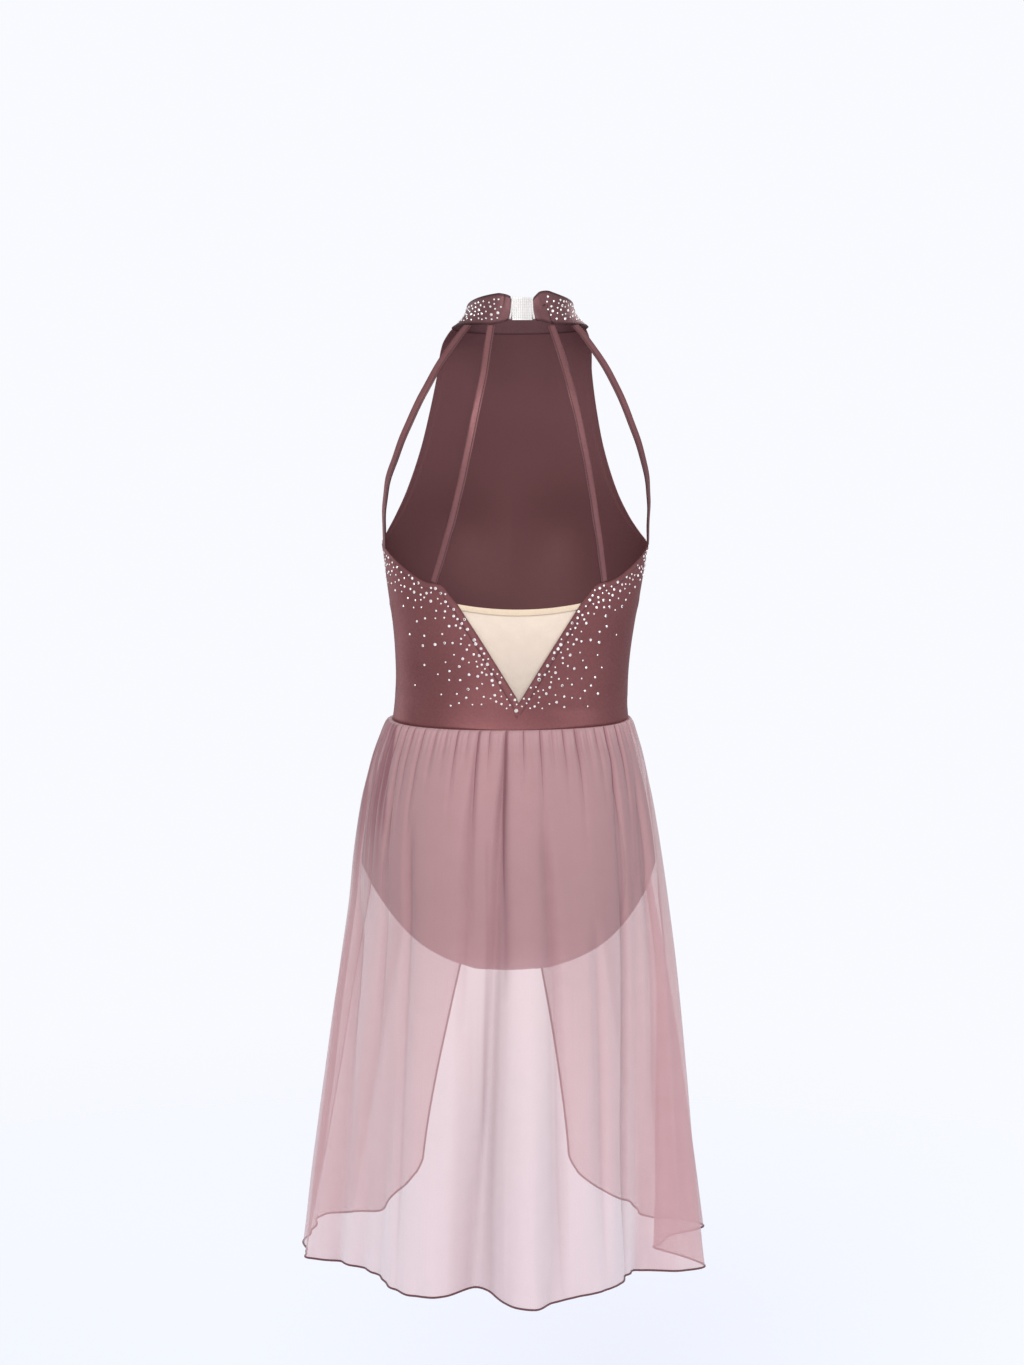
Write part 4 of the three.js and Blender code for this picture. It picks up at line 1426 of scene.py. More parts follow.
@dataclass
class VInsert:
    """The see-through V, its elastic and the zigzag that holds it."""

    form: DressForm
    band: float = 6.0
    dip: float = 5.0

    def band_top(self, share: Array) -> Array:
        """The elastic's upper line."""
        return self.form.v_top_z - 0.6 - self.dip * (1 - share * share)

    def angles(self, z: Array, share: Array, inset: float) -> Array:
        """Angles across the V at heights."""
        return mix(self.form.v_reach(z, -1) + inset, self.form.v_reach(z, 1) - inset, (share + 1) / 2)

    def build(self) -> None:
        """Builds the mesh, the elastic and the zigzag."""
        share = np.linspace(-1, 1, 49)[None, :]
        down = np.linspace(0, 1, 41)[:, None]
        top = self.band_top(share) - self.band - 0.1
        z = mix(top, self.form.v_apex_z - 2.0, down)
        grid = self.form.body(z, self.angles(z, share, -1.4), -1.15)
        mesh = settle(cloth_grid("mesh_insert_cloth", grid), Finish.MESH, "power_mesh", "mesh_insert")
        down = np.linspace(0, 1, 7)[:, None]
        share = np.linspace(-1, 1, 61)[None, :]
        z = self.band_top(share) - self.band * down
        crown = 0.35 * np.sin(np.pi * down) + 0 * share
        grid = self.form.body(z, self.angles(z, share, 0.25), 0.1 + crown)
        band = cloth_grid("insert_elastic_band", grid, 1.3)
        settle(band, Finish.ELASTIC, "elastic", "insert_elastic")
        share = np.linspace(-0.97, 0.97, 80)
        z = self.band_top(share) - self.band * 0.55
        line, out = on_cloth(self.form.body, z, self.angles(z, share, 0.25), 1.15)
        row = StitchRow(line, out, pitch=3.2, width=0.42, zigzag=1.3)
        sew("elastic_zigzag", [row], Finish.NUDE_THREAD, "elastic")


@dataclass
class Collar:
    """The halter collar: a doubled band with folded ends that a clasp joins."""

    form: DressForm
    wall: float = 1.8

    def edges(self, degrees: Array, share: Array) -> Array:
        """How much painted shade the band has: at its folded rims, its end seams, a small slit and a crease.

        Args:
            degrees: angles round the band.
            share: 0 at its lower, sewn edge and 1 at the top.

        Returns:
            Shares of the full painted shade.
        """
        left = degrees < 180
        a = np.where(left, degrees, 360 - degrees)
        rims = 1.15 * bell((share - 1) / 0.05) + 1.15 * bell(share / 0.055)
        ends = 0.5 * bell((a - np.where(left, self.form.collar_end, self.form.collar_end_right)) / 1.0)
        low = 1 - ease((share - 0.5) / 0.12)
        seam = 0.95 * bell((a - 24.6 - 1.2 * share) / 0.8) * low * ~left
        slit_line = bell((share - 0.57 - 0.01 * (a - 22)) / 0.028)
        slit = 1.2 * slit_line * np.exp(-((a - 21.3) / 2.2) ** 4) * ~left
        crease = 0.7 * bell((a - 20.4 - 3.5 * (1 - share)) / 0.8) * ease((share - 0.45) / 0.4) * left
        return rims + ends + seam + slit + crease

    def build(self) -> None:
        """Builds the band, its end folds and its stitches."""
        first, last = self.form.collar_end, self.form.collar_end_right
        degrees = mix(first, 360 - last, steps((0, 70), (0.12, 150), (0.88, 70), (1, 0)))[None, :]
        share = np.concatenate([[1, 0.985], np.linspace(0.96, 0.04, 34), [0.015, 0]])[:, None]
        a = np.where(degrees > 180, 360 - degrees, degrees)
        left = degrees < 180
        roll = 0.45 * bell((share - 0.97) / 0.04) + 0.45 * bell((share - 0.03) / 0.04)
        dips = -0.65 * np.minimum(1, self.edges(degrees, share)) * (share > 0.06) * (share < 0.94)
        crumple = 0.22 * np.sin(share * 7 + a * 0.5) * bell((a - first) / 8)
        crumple = crumple + 0.18 * np.sin(share * 5 + a * 0.35 + left) * bell((a - 26) / 12)
        grid = self.form.collar(share, degrees, roll + dips + crumple)
        at_end = bell((a - np.where(left, first, last)) / 2.0)
        bow = 1.3 * (1 - (2 * share - 1) ** 2) * at_end
        grid[..., 0] += np.where(left, -1, 1) * (bow - at_end)
        # painted shade at the rims, end seams, slit and crease
        seam = np.clip(self.edges(degrees, share), 0, 1.2)
        band = fix_normals(cloth_grid("collar_cloth", grid, self.wall, 0.3, seam))
        settle(band, Finish.COLLAR, "spandex", "collar")
        rows = []
        for up_at in (0.91, 0.10):
            around = np.linspace(first + 14, 360 - first - 14, 200)
            rows.append(self.row(np.full(200, up_at), around, 2.6, 0.38))
        rows.append(self.row(np.linspace(0.12, 0.88, 20), np.full(20, first + 12.4), 2.7, 0.45))
        rows.append(self.row(np.linspace(0.06, 0.5, 12), np.full(12, -26.3), 2.7, 0.45))
        sew("collar_stitches", rows, Finish.MAUVE_THREAD, "spandex")

    def row(self, up: Array, degrees: Array, pitch: float, width: float) -> StitchRow:
        """A row of stitches along a line on the band's outside."""
        line, out = on_cloth(self.form.collar, up, degrees, self.wall / 2 + 0.12)
        return StitchRow(line, out, 1.7, pitch, width)


@dataclass
class Clasp:
    """The clear plastic clasp: a ribbed plate with an end bar on each side."""

    form: DressForm
    width: float = 18.8
    height: float = 22.2
    thick: float = 2.4
    ribs: int = 9
    rib_rise: float = 0.65
    rim: float = 0.22
    middle: float = 1.0
    cross_cuts: Numbers = (-0.42, -0.14, 0.14, 0.42)
    bow: float = 0.0105
    bars: tuple[tuple[str, float], ...] = (("clasp_bar_left", 12.3), ("clasp_bar_right", -8.9))
    bar_radius: float = 1.15

    def plate(self) -> Piece:
        """Models the ribbed plate from a box: cut into strips, its ribs drawn out.

        Returns:
            The plate, bent to the collar.
        """
        bpy.ops.object.select_all(action="DESELECT")
        bpy.ops.mesh.primitive_cube_add(size=1.0, location=(0, 0, 0))
        plate = bpy.context.object
        plate.name = plate.data.name = "back_clasp_plate"
        plate.scale = (self.width * MM, self.thick * MM, self.height * MM)
        bpy.ops.object.transform_apply(location=False, rotation=False, scale=True)
        bpy.ops.object.mode_set(mode="EDIT")
        for i in range(1, self.ribs * 2):
            x = (i / (self.ribs * 2) - 0.5) * self.width * MM
            bpy.ops.mesh.select_all(action="SELECT")
            bpy.ops.mesh.bisect(plane_co=(x, 0, 0), plane_no=(1, 0, 0))
        for z in self.cross_cuts:
            bpy.ops.mesh.select_all(action="SELECT")
            bpy.ops.mesh.bisect(plane_co=(0, 0, z * self.height * MM), plane_no=(0, 0, 1))
        bpy.ops.mesh.select_all(action="DESELECT")
        bpy.ops.mesh.select_mode(type="FACE")
        work = bmesh.from_edit_mesh(plate.data)
        step = self.width * MM / (self.ribs * 2)
        for face in work.faces:
            c = face.calc_center_median()
            strip = int(math.floor((c.x + self.width * MM / 2) / step))
            outer = abs(face.normal.y) > 0.9 and c.y > 0
            inside = abs(c.z) < self.cross_cuts[-1] * self.height * MM
            face.select = outer and inside and strip % 2 == 1
        bmesh.update_edit_mesh(plate.data)
        bpy.ops.mesh.extrude_region_move(TRANSFORM_OT_translate={"value": (0, self.rib_rise * MM, 0)})
        bpy.ops.object.mode_set(mode="OBJECT")
        bevel = plate.modifiers.new("rim", "BEVEL")
        bevel.width, bevel.segments, bevel.limit_method = self.rim * MM, 2, "ANGLE"
        only(plate)
        bpy.ops.object.modifier_apply(modifier="rim")
        points = np.array([v.co[:] for v in plate.data.vertices]) / MM
        x, y, z = points.T
        tilt = self.form.collar(0.5 + z / 23.5, np.zeros_like(z))
        wider = 1 + 0.05 * held(-z / 11)
        behind = tilt[:, 1] + y + 0.3 - self.bow * x * x
        bent = np.stack([self.middle + x * wider, behind, tilt[:, 2]], -1)
        plate.data.vertices.foreach_set("co", (bent * MM).ravel())
        plate.data.update()
        return fix_normals(plate)

    def build(self) -> None:
        """Builds the plate and the bars that the collar's ends loop round."""
        settle(self.plate(), Finish.PLASTIC, "clear_plastic", "back_clasp")
        for name, at in self.bars:
            path = self.form.collar(np.linspace(0.08, 0.92, 16), np.full(16, at), -0.2)
            settle(tube(name, path, self.bar_radius, 12), Finish.PLASTIC, "clear_plastic")


@dataclass
class Straps:
    """The four back straps: narrow doubled strips with a stitched inner edge."""

    form: DressForm
    width: float = 7.8
    thick: float = 1.5
    stated_width: float = 0.010
    stitch_at: float = 0.55
    outer_end: float = 80.0
    inner_end: float = 40.2
    outer_rows: Table = field(default_factory=lambda: Table("z x y mid", [
        (-10.6, 51.4, 45.8, 0.8), (-16, 56.2, 51, 0.7), (-21, 60.3, 55, 0.9), (-44, 77.3, 67, 1.6),
        (-67, 90.8, 75, 2.2), (-82, 98.5, 78, 2.9), (-113, 111.8, 76, 3.8), (-137, 120.2, 69, 4),
        (-161, 127.1, 56, 4.6), (-182, 130.1, 42, 4.4), (-203, 131.2, 30, 4.4)]))
    inner_rows: Table = field(default_factory=lambda: Table("z x y mid", [
        (-10.4, 29.2, 60, 1.8), (-36, 35.4, 73, 0.1), (-58, 40, 83, -0.9), (-81, 45.7, 91, -1.1),
        (-120, 54.4, 95, -1.2), (-158, 62.2, 91.5, -1), (-198, 69.9, 84, 0.2), (-232, 77, 76.5, 2)]))

    def line(self, rows: Table, side: int, end: float) -> tuple[Array, Array]:
        """Finds a strap's centre line, run in to the bodice's edge.

        Args:
            rows: the strap's places behind the figure.
            side: 1 on the wearer's left, -1 on the right.
            end: the angle at which it meets the bodice.

        Returns:
            The line's points, and its outward directions.
        """
        edge = float(self.form.back_edge(np.array(side * end))) + self.form.seam_gap + 0.6
        last = self.form.body(edge, side * end, 0.4)
        mid = float(self.form.body_rows.read("cx", np.array(edge)))
        table = Table("z x y mid", [*rows.data.tolist(), (edge, abs(last[0] - mid), last[1], mid)])
        z = np.linspace(rows.data[0, 0], edge, 120)
        x, y, m = (table.read(n, z) for n in ("x", "y", "mid"))
        path = np.stack([m + side * x, y, z], -1)
        return path, unit(np.stack([side * x / 1.7, y * 1.15, np.full_like(z, 10.0)], -1))

    def strap(self, name: str, rows: Table, side: int, end: float) -> StitchRow:
        """Builds one strap.

        Args:
            name: the node it stands for.
            rows: its places behind the figure.
            side: 1 on the wearer's left, -1 on the right.
            end: the angle at which it meets the bodice.

        Returns:
            The row of stitches on it.
        """
        path, out = self.line(rows, side, end)
        along = unit(np.gradient(path, axis=0))
        out = square_to(out, along)
        across = np.cross(along, out) * -side
        share = np.linspace(-1, 1, 21)
        profile = 0.5 * (1 - np.abs(share) ** 6) - 0.38 * bell((share - self.stitch_at) / 0.12)
        ripple = 0.25 * np.sin(np.linspace(0, 40, len(path)))[:, None] * share[None, :] ** 2
        wander = (0.35 * np.sin(np.linspace(0, 9, len(path)) + end))[:, None]
        grid = (path[:, None] + across[:, None] * ((share * self.width / 2)[None, :] + wander)[..., None]
                + out[:, None] * (profile[None, :] * 0.6 + ripple)[..., None])
        for i in range(4):
            level = (path[0, 2] - grid[i, :, 2]) / along[i, 2]
            grid[i] += along[i] * (level * (1 - i / 4))[:, None] * (1 if i == 0 else 0.6)
        # painted shade along the stitch line and at both rims, leaving the middle lighter
        shade = 1.05 * bell((share - self.stitch_at) / 0.13) + 0.9 * np.abs(share) ** 6
        seam = np.broadcast_to(shade[None, :], grid.shape[:2])
        piece = fix_normals(cloth_grid(f"{name}_cloth", grid, self.thick, 0.35, seam))
        settle(piece, Finish.STRAP, "strap_cloth", name)
        inner = path + across * (self.stitch_at * self.width / 2 + wander) + out * (self.thick / 2 + 0.12)
        return StitchRow(inner[2:-2], out[2:-2], 2.2, 3.0, 0.75)

    def build(self) -> None:
        """Builds the four straps and their stitches."""
        rows = []
        for word, side in (("left", 1), ("right", -1)):
            rows.append(self.strap(f"outer_strap_{word}", self.outer_rows, side, self.outer_end))
            rows.append(self.strap(f"inner_strap_{word}", self.inner_rows, side, self.inner_end))
        sew("strap_stitches", rows, Finish.DARK_THREAD, "strap_cloth")


@dataclass
class Skirt:
    """The gathered chiffon skirt, open in front, with a thread-rolled hem."""

    form: DressForm
    columns: int = 900
    middle_rows: int = 64
    tucked_rows: int = 3
    flat: Numbers = (1.25, 0.57)
    area: float = 0.60
    roll_radius: float = 1.1
    quiet: Numbers = (47, 15, 0.62)  # the least gathered stretch, where the gathers' painted shadows are calmed: middle, width and calm
    bunch_and_shade: Numbers = (66, 97, 50)  # folds gathered up at the left side, denser and with painted shade: from and to, and how long they stay dark
    strokes: tuple[Numbers, ...] = (  # painted shadows of long folds: at the waist, at the end, from, to, width, depth
        (3.9, 4.2, -30, 270, 0.95, 0.80), (10.4, 11.6, 90, 430, 0.85, 0.50),
        (17.4, 18.6, -30, 105, 0.7, 0.42),
        (-22.6, -21.4, -30, 95, 0.6, 0.32), (-30.5, -29, -30, 60, 0.8, 0.50), (-59, -56, -30, 190, 0.9, 0.45))

    def calm(self, a: Array) -> Array:
        """How much of a gather's painted shadow shows at an angle: less where the back is least gathered."""
        middle, width, least = self.quiet
        return 1 - least * bell((a - middle) / width)

    def fine(self, turn: Array, down: Array) -> Array:
        """Finer folds than the solid's: small gathers, soft creases and hem waves.

        Args:
            turn: -1 to 1 across the cloth.
            down: 0 at the waist, 1 at the hem.

        Returns:
            How far the cloth stands out.
        """
        a, length = self.place(turn, down)
        near = held(1 - length / 34) ** 1.4 * np.minimum(1, length / 3)
        small = 0.9 * np.sin(a * 2.05 + 2.1 * np.sin(a * 0.21))
        small = small + 0.5 * np.sin(a * 3.3 + 1.3 * np.sin(a * 0.37 + 1))
        out = small * near * 0.5
        for k, (rate, size, top) in enumerate(((0.21, 1.6, 0.2), (0.33, 1.1, 0.4))):
            wave = np.sin(a * rate + 1.7 * np.sin(a * 0.07 + k * 2) + 1.2 * np.sin(down * 3 + k) + k * 2.2)
            out = out + size * wave * ease((down - top) / 0.3)
        hem = held((down - 0.9) / 0.1) ** 2
        flute = np.sin(a * 0.62 + 2.0 * np.sin(a * 0.13 + 0.6))
        flute = flute + 0.15 * np.sin(a * 1.3 + 1.4 * np.sin(a * 0.21))
        return out + hem * flute

    def place(self, turn: Array, down: Array) -> tuple[Array, Array]:
        """The angle of places on the cloth, and how far below the waist they are."""
        return turn * 180, down * (self.form.waist_z - self.form.hem_z)

    def fold_shade(self, turn: Array, down: Array) -> Array:
        """How dark the skirt is in its gathers and long folds, sharp on one side and soft on the other.

        Args:
            turn: -1 to 1 across the cloth.
            down: 0 at the waist, 1 at the hem.

        Returns:
            Shades, 0 where there is no fold.
        """
        a, length = self.place(turn, down)
        dark = np.zeros(np.broadcast(a, down).shape)
        for at, deep, run in self.form.all_gathers():
            beside = 1.8 if 44 < at < 92 else 1.0
            near = self.shadow((a - at) / (0.5 * beside))
            rest = held(1 - length / (run * (0.5 + 0.3 * (beside > 1))))
            dark += 0.45 * beside * near * rest ** 1.2 * min(1.0, (deep / 5.0) ** 1.6) * self.calm(at)
        # the first crease is among the long folds below
        for top, hem, wide, deep, begin, end in self.form.creases[1:]:
            near = self.shadow((a - mix(top, hem, down)) / (0.2 * wide))
            dark += near * self.form.crease_span(down, begin, end) * 0.055 * deep
        for top, low, begin, end, wide, deep in self.strokes:
            at = mix(top, low, held(length / end))
            shows = ease((length - begin) / 30) * (1 - ease((length - end + 70) / 70))
            dark += deep * self.shadow((a - at) / wide) * shows
        return dark

    def bunching_and_shade(self, turn: Array, down: Array) -> Array:
        """How far the cloth gathers up at its left side, below the waist, where it is denser and darkened
        with painted shade.

        Args:
            turn: -1 to 1 across the cloth.
            down: 0 at the waist, 1 at the hem.

        Returns:
            Shares of the bunching.
        """
        a, length = self.place(turn, down)
        first, last, run = self.bunch_and_shade
        edge = first - 6.5 * np.sin(held(length / 170) * math.pi)
        inside = ease((a - edge) / 2.2) * (1 - ease((a - last) / 6)) * (1 - ease((length - run) / 150))
        streaks = 0.72 + 0.28 * np.sin(a * 1.15 + 0.9 * np.sin(a * 0.4) + length * 0.012)
        return inside * streaks

    def gather_lines(self, turn: Array, down: Array) -> tuple[Array, Array]:
        """Where the gathers' sharp lines run, for the material to draw as painted shadow lines finer than the
        mesh.

        Args:
            turn: -1 to 1 across the cloth.
            down: 0 at the waist, 1 at the hem.

        Returns:
            Degrees from the nearest gather, signed, and how strongly its painted shadow shows.
        """
        a, length = self.place(turn, down)
        places = np.array(self.form.all_gathers())
        nearest = np.abs(a[..., None] - places[:, 0]).argmin(-1)
        at, deep, run = (places[nearest, k] for k in range(3))
        away = a - at
        rest = held(1 - length / (run * 0.62)) ** 0.7
        near = held(2.3 - np.abs(away))
        return away, np.minimum(1, (deep / 5.4) ** 2.8) * rest * near * self.calm(at)

    def shadow(self, x: Array) -> Array:
        """A fold's shadow across it: a sharp edge and a soft tail towards negative x."""
        return np.where(x > 0, bell(x / 0.8), bell(x / 2.3) * 0.6 + 0.4 * bell(x))

    def topped(self, values: Array, mode: str = "constant") -> Array:
        """Values of the grid, carried over the tucked-in rows above: 0 or, in mode edge, the first row."""
        return np.pad(values, ((self.tucked_rows, 0), (0, 0)), mode=mode)

    def tucked(self, turn: Array, first: Array) -> Array:
        """Runs the cloth up and in at the waist's sewn join.

        Args:
            turn: -1 to 1 across the cloth.
            first: the skirt's uppermost row of points.

        Returns:
            Three rows of points above it.
        """
        angle = turn * self.form.opening_top
        level = np.full_like(angle, self.form.waist_z + 0.4)
        inner, outer = (self.form.body(level, angle, out) for out in (0.9, 2.2))
        outer[:, 2] += 0.5
        join = mix(outer, first, 0.5)
        join[:, 2] = first[:, 2] + 0.9
        return np.array([inner, outer, join])

    def hollows(self, points: Array) -> Array:
        """How deep in a fold each point lies, against the cloth round about.

        Args:
            points: rows of points.

        Returns:
            Shares, 0 where the cloth is flat or stands out.
        """
        plain = np.linalg.norm(points[..., :2] - np.array(SKIRT_AXIS), axis=-1)
        smooth = plain.copy()
        for _ in range(3):
            pad = np.pad(smooth, ((0, 0), (9, 9)), mode="edge")
            smooth = np.stack([pad[:, k:k + smooth.shape[1]] for k in range(0, 19, 3)]).mean(0)
        return held((smooth - plain) / 6)

    def build(self) -> None:
        """Builds the skirt, its turned-in top and its rolled hem."""
        turn = np.linspace(-1, 1, self.columns)
        down = steps((0, 28), (0.14, self.middle_rows), (0.9, 14), (1, 0))
        down_at, turn_at = np.meshgrid(down, turn, indexing="ij")
        grid = self.form.skirt(turn_at, down_at, self.fine(turn_at, down_at))
        low = held((down_at - 0.8) / 0.2) ** 2
        dip = 1.6 * low * np.sin(turn_at * 19 + 1.5 * np.sin(turn_at * 7))
        grid[..., 2] += dip * (np.abs(turn_at) < 0.985)
        full = np.concatenate([self.tucked(turn, grid[0]), grid])
        piece = cloth_grid("skirt_cloth", full)
        radial = full - np.array([*SKIRT_AXIS, 0.0])
        radial[..., 2] = 0
        steep = 1 - np.abs((normals_of(full) * unit(radial, 1e-6)).sum(-1))
        hollow = self.hollows(full)
        share = np.concatenate([np.zeros(self.tucked_rows), down])[:, None]
        waist = 0.42 * held(1 - share / 0.035) + 0.12 * held(1 - share / 0.3)
        shade = self.topped(self.fold_shade(turn_at, down_at))
        bunch_and_shade = self.topped(self.bunching_and_shade(turn_at, down_at))
        away, strength = self.gather_lines(turn_at, down_at)
        add_values(piece, "away", self.topped(away, "edge"))
        add_values(piece, "pull", self.topped(strength, "edge"))
        # dense makes the chiffon less see-through where it turns edge on, at the waist, in hollows and folds
        # and at the left side's gathered folds; deep is painted shade in the hollows, on edge-on cloth, in
        # the folds and at the left side
        dense = steep ** 1.3 * 0.8 + waist + 0.2 * hollow + 0.4 * shade + bunch_and_shade
        add_values(piece, "dense", held(dense))
        add_values(piece, "deep", np.clip(0.36 * hollow + 0.2 * steep + 0.7 * shade + 1.25 * bunch_and_shade, 0, 1.35))
        add_values(piece, "turn", np.broadcast_to(turn, full.shape[:2]))
        add_values(piece, "waist", np.broadcast_to(held(1 - share / 0.11) ** 1.5, full.shape[:2]))
        settle(piece, Finish.CHIFFON, "chiffon", "skirt")
        edge = np.concatenate([grid[3:, 0], grid[-1, 1:-1], grid[3:, -1][::-1]])
        roll = tube("skirt_hem_roll", resample(edge, 2.2), self.roll_radius, 6)
        settle(roll, Finish.HEM_THREAD, "chiffon")


@dataclass
class Rhinestones:
    """Cut stones scattered down from the back's edges, round the sides and on the collar."""

    form: DressForm
    seed: int = 7
    large: float = 2.8
    lifts: Numbers = (1.05, 0.95)  # the cloth's outside from its middle: on the back, on the collar
    lowest_z: float = -386.0
    foot_z: float = -336.0  # below this, stones also gather round the foot of the V
    back_tries: int = 9000
    back_round: float = 128.0
    collar_tries: int = 4000
    collar_round: Numbers = (23.5, 122)
    back_widths: tuple[Numbers, ...] = ((1.8, 0.34), (2.1, 0.3), (2.5, 0.22), (2.9, 0.14))
    collar_widths: tuple[Numbers, ...] = ((1.9, 0.5), (2.3, 0.34), (3.1, 0.16))
    big: tuple[Numbers, ...] = (  # from the V's middle in mm, height, width
        (-57, -283, 3.6), (-47.5, -293, 4.2), (-41, -303, 4.6), (-38, -317, 4.4), (-28, -337, 4.2),
        (-20, -353, 4.8), (-36, -349, 3.8), (-43, -362, 3.8), (-50, -332, 4.0), (-70, -318, 3.8),
        (-79, -321, 3.8), (-65, -301, 3.8), (-85, -295, 3.8), (-82, -279, 4.0), (-68, -278, 4.2),
        (-78, -264, 4.0), (-97, -254, 4.0), (-99, -271, 3.6), (52, -295, 4.2), (45, -306, 4.4),
        (43, -320, 4.4), (31, -340, 4.4), (26, -356, 4.4), (40, -352, 3.8), (49, -365, 3.8),
        (55, -335, 4.0), (82, -322, 4.2), (73, -320, 3.8), (69, -303, 3.8), (73, -279, 3.8),
        (87, -279, 4.2), (83, -264, 4.2), (103, -271, 4.0), (100, -254, 3.8), (1.5, -386, 5.2))

    def model(self) -> Model:
        """Models one stone: an eight-sided crown with a flat table, on a short girdle.

        Returns:
            Its points in unit width, and its faces but the one that lies on the cloth.
        """
        bpy.ops.object.select_all(action="DESELECT")
        bpy.ops.mesh.primitive_cylinder_add(vertices=8, radius=0.5, depth=0.12, location=(0, 0, 0.06))
        stone = bpy.context.object
        bpy.ops.object.transform_apply(location=True, rotation=True, scale=True)
        bpy.ops.object.mode_set(mode="EDIT")
        bpy.ops.mesh.select_mode(type="FACE")
        bpy.ops.mesh.select_all(action="DESELECT")
        work = bmesh.from_edit_mesh(stone.data)
        for face in work.faces:
            face.select = face.normal.z > 0.9
        bmesh.update_edit_mesh(stone.data)
        bpy.ops.mesh.extrude_region_move(TRANSFORM_OT_translate={"value": (0, 0, 0.2)})
        bpy.ops.transform.resize(value=(0.56, 0.56, 1.0))
        bpy.ops.transform.rotate(value=math.pi / 8, orient_axis="Z", center_override=(0, 0, 0))
        bpy.ops.object.mode_set(mode="OBJECT")
        return take_model(stone, above=-0.9)

    def clear(self, p: Array, spots: Sequence[Array], gap: float) -> bool:
        """Whether a place is at least a gap from the stones so far."""
        return all(np.sum((p - q) ** 2) > gap * gap for q in spots)

    def width(self, chance: np.random.Generator, widths: Sequence[tuple[float, float]]) -> float:
        """Draws a width by the share of stones that have it."""
        return float(chance.choice([w for w, _ in widths], p=[share for _, share in widths]))

    def keep_at(self, at: float, z: float) -> tuple[float, float]:
        """How likely a stone is at a place of the back or sides.

        Args:
            at: the angle of the place.
            z: its height.

        Returns:
            The chance, and how far the place is below the cloth's upper edge.
        """
        a = abs(at)
        if a > 90:
            below = self.form.underarm_z + 2 - z
            return math.exp(-max(0.0, below - 6) / 16) * (1 - (a - 90) / 38), below
        below = float(self.form.back_edge(np.array(at))) - z
        if a < self.form.v_corner + 1:
            slope = (self.form.v_top_z - self.form.v_apex_z) / self.form.v_corner
            away = below / math.hypot(1, slope / 2.0)
        else:
            away = below * 0.82
        keep = max(math.exp(-(max(0.0, away - 10) / 20) ** 1.3), 0.20 * (away < 62))
        out = 117 * abs(math.sin(math.radians(at - self.form.v_lean)))
        if z < self.foot_z:
            keep = max(keep, 0.62 * min(1.0, max(0.0, (84 - out) / 46)))
        if a > 62:
            keep *= math.exp(-max(0.0, away - 22) / 9)
        if away > 30 and z > self.foot_z:
            keep *= max(0.0, 1 - (a - 22) / 46)
        return keep, below

    def back_places(self, chance: np.random.Generator) -> Places:
        """Places the stones of the back and sides: the larger ones first, then small ones by chance.

        Args:
            chance: the source of the draws.

        Returns:
            An angle, a height and a width for each stone.
        """
        found: Places = []
        spots: list[Array] = []
        for x, z, width in self.big:
            half = float(self.form.body_rows.read("half", np.array(z)))
            at = math.degrees(math.asin(np.clip((x - 1.2) / half, -1, 1)))
            edge = float(self.form.back_edge(np.array(at)))
            z = min(z, edge - 5.0 * (1.9 if abs(at) < self.form.v_corner else 1.0))
            spots.append(self.form.body(z, at))
            found.append((at, z, width * 0.78))
        for _ in range(self.back_tries):
            at = chance.uniform(-self.back_round, self.back_round)
            z = chance.uniform(self.lowest_z, self.form.underarm_z + 2)
            keep, below = self.keep_at(at, z)
            if below < 3.4 or chance.random() > keep:
                continue
            p = self.form.body(z, at)
            gap = 4.6 if keep > 0.75 else 5.4 + 3.2 * (1 - keep)
            if z < self.lowest_z + 1.5 or not self.clear(p, spots, gap):
                continue
            spots.append(p)
            found.append((at, z, self.width(chance, self.back_widths)))
        return found

    def collar_places(self, chance: np.random.Generator) -> Places:
        """Places the stones of the collar by chance, fewer towards the front.

        Args:
            chance: the source of the draws.

        Returns:
            An angle, a share of the band's height and a width for each stone.
        """
        found: Places = []
        spots: list[Array] = []
        for _ in range(self.collar_tries):
            a = chance.uniform(*self.collar_round)
            up = chance.uniform(0.17, 0.85)
            fade = 1.0 if a < 100 else 1 - (a - 100) / 22
            if chance.random() > fade:
                continue
            side = chance.choice([-1, 1])
            p = self.form.collar(up, side * a)
            if not self.clear(p, spots, 4.3 if a < 75 else 5.2):
                continue
            spots.append(p)
            found.append((side * a, up, self.width(chance, self.collar_widths)))
        return found

    def stones(self, name: str, places: Places, surface: Callable[..., Array],
               lift: float, chance: np.random.Generator) -> None:
        """Sets stones on a surface, their facets each given a painted glint.

        Args:
            name: the piece's name.
            places: an angle, a height and a width for each stone.
            surface: gives the points of the cloth.
            lift: how far the cloth's outside is from its middle.
            chance: the source of the facets' painted glints.
        """
        at, height, width = np.array(places).T
        base = surface(height, at, lift)
        z = unit(surface(height, at, lift + 1) - base)
        x = square_to(surface(height, at + 0.5, lift) - base, z)
        spin = chance.uniform(0, math.pi / 4, len(at))[:, None]
        y = np.cross(z, x)
        x, y = x * np.cos(spin) + y * np.sin(spin), y * np.cos(spin) - x * np.sin(spin)
        model = self.model()
        faces = model[1]
        piece = scatter(name, model, base, np.stack([x, y, z], 1), np.repeat(width[:, None], 3, 1))
        # painted glints: a random brightness on each of the stones' facets, with dark tables on about half
        # the large stones
        bright = np.zeros(len(piece.data.polygons))
        ring = chance.random(len(at)) < 0.5
        for k in range(len(at)):
            for f, face in enumerate(faces):
                table = len(face) == 8
                value = chance.uniform(0.55, 1.0)
                if width[k] > self.large:
                    value = chance.uniform(0.0, 0.5) if table and ring[k] else chance.uniform(0.25, 1.0)
                elif not table:
                    value = chance.uniform(0.3, 1.0)
                bright[k * len(faces) + f] = value
        layer = piece.data.attributes.new("facet", "FLOAT", "FACE")
        layer.data.foreach_set("value", bright.astype(np.float32))
        settle(piece, Finish.CRYSTAL, "clear_plastic")

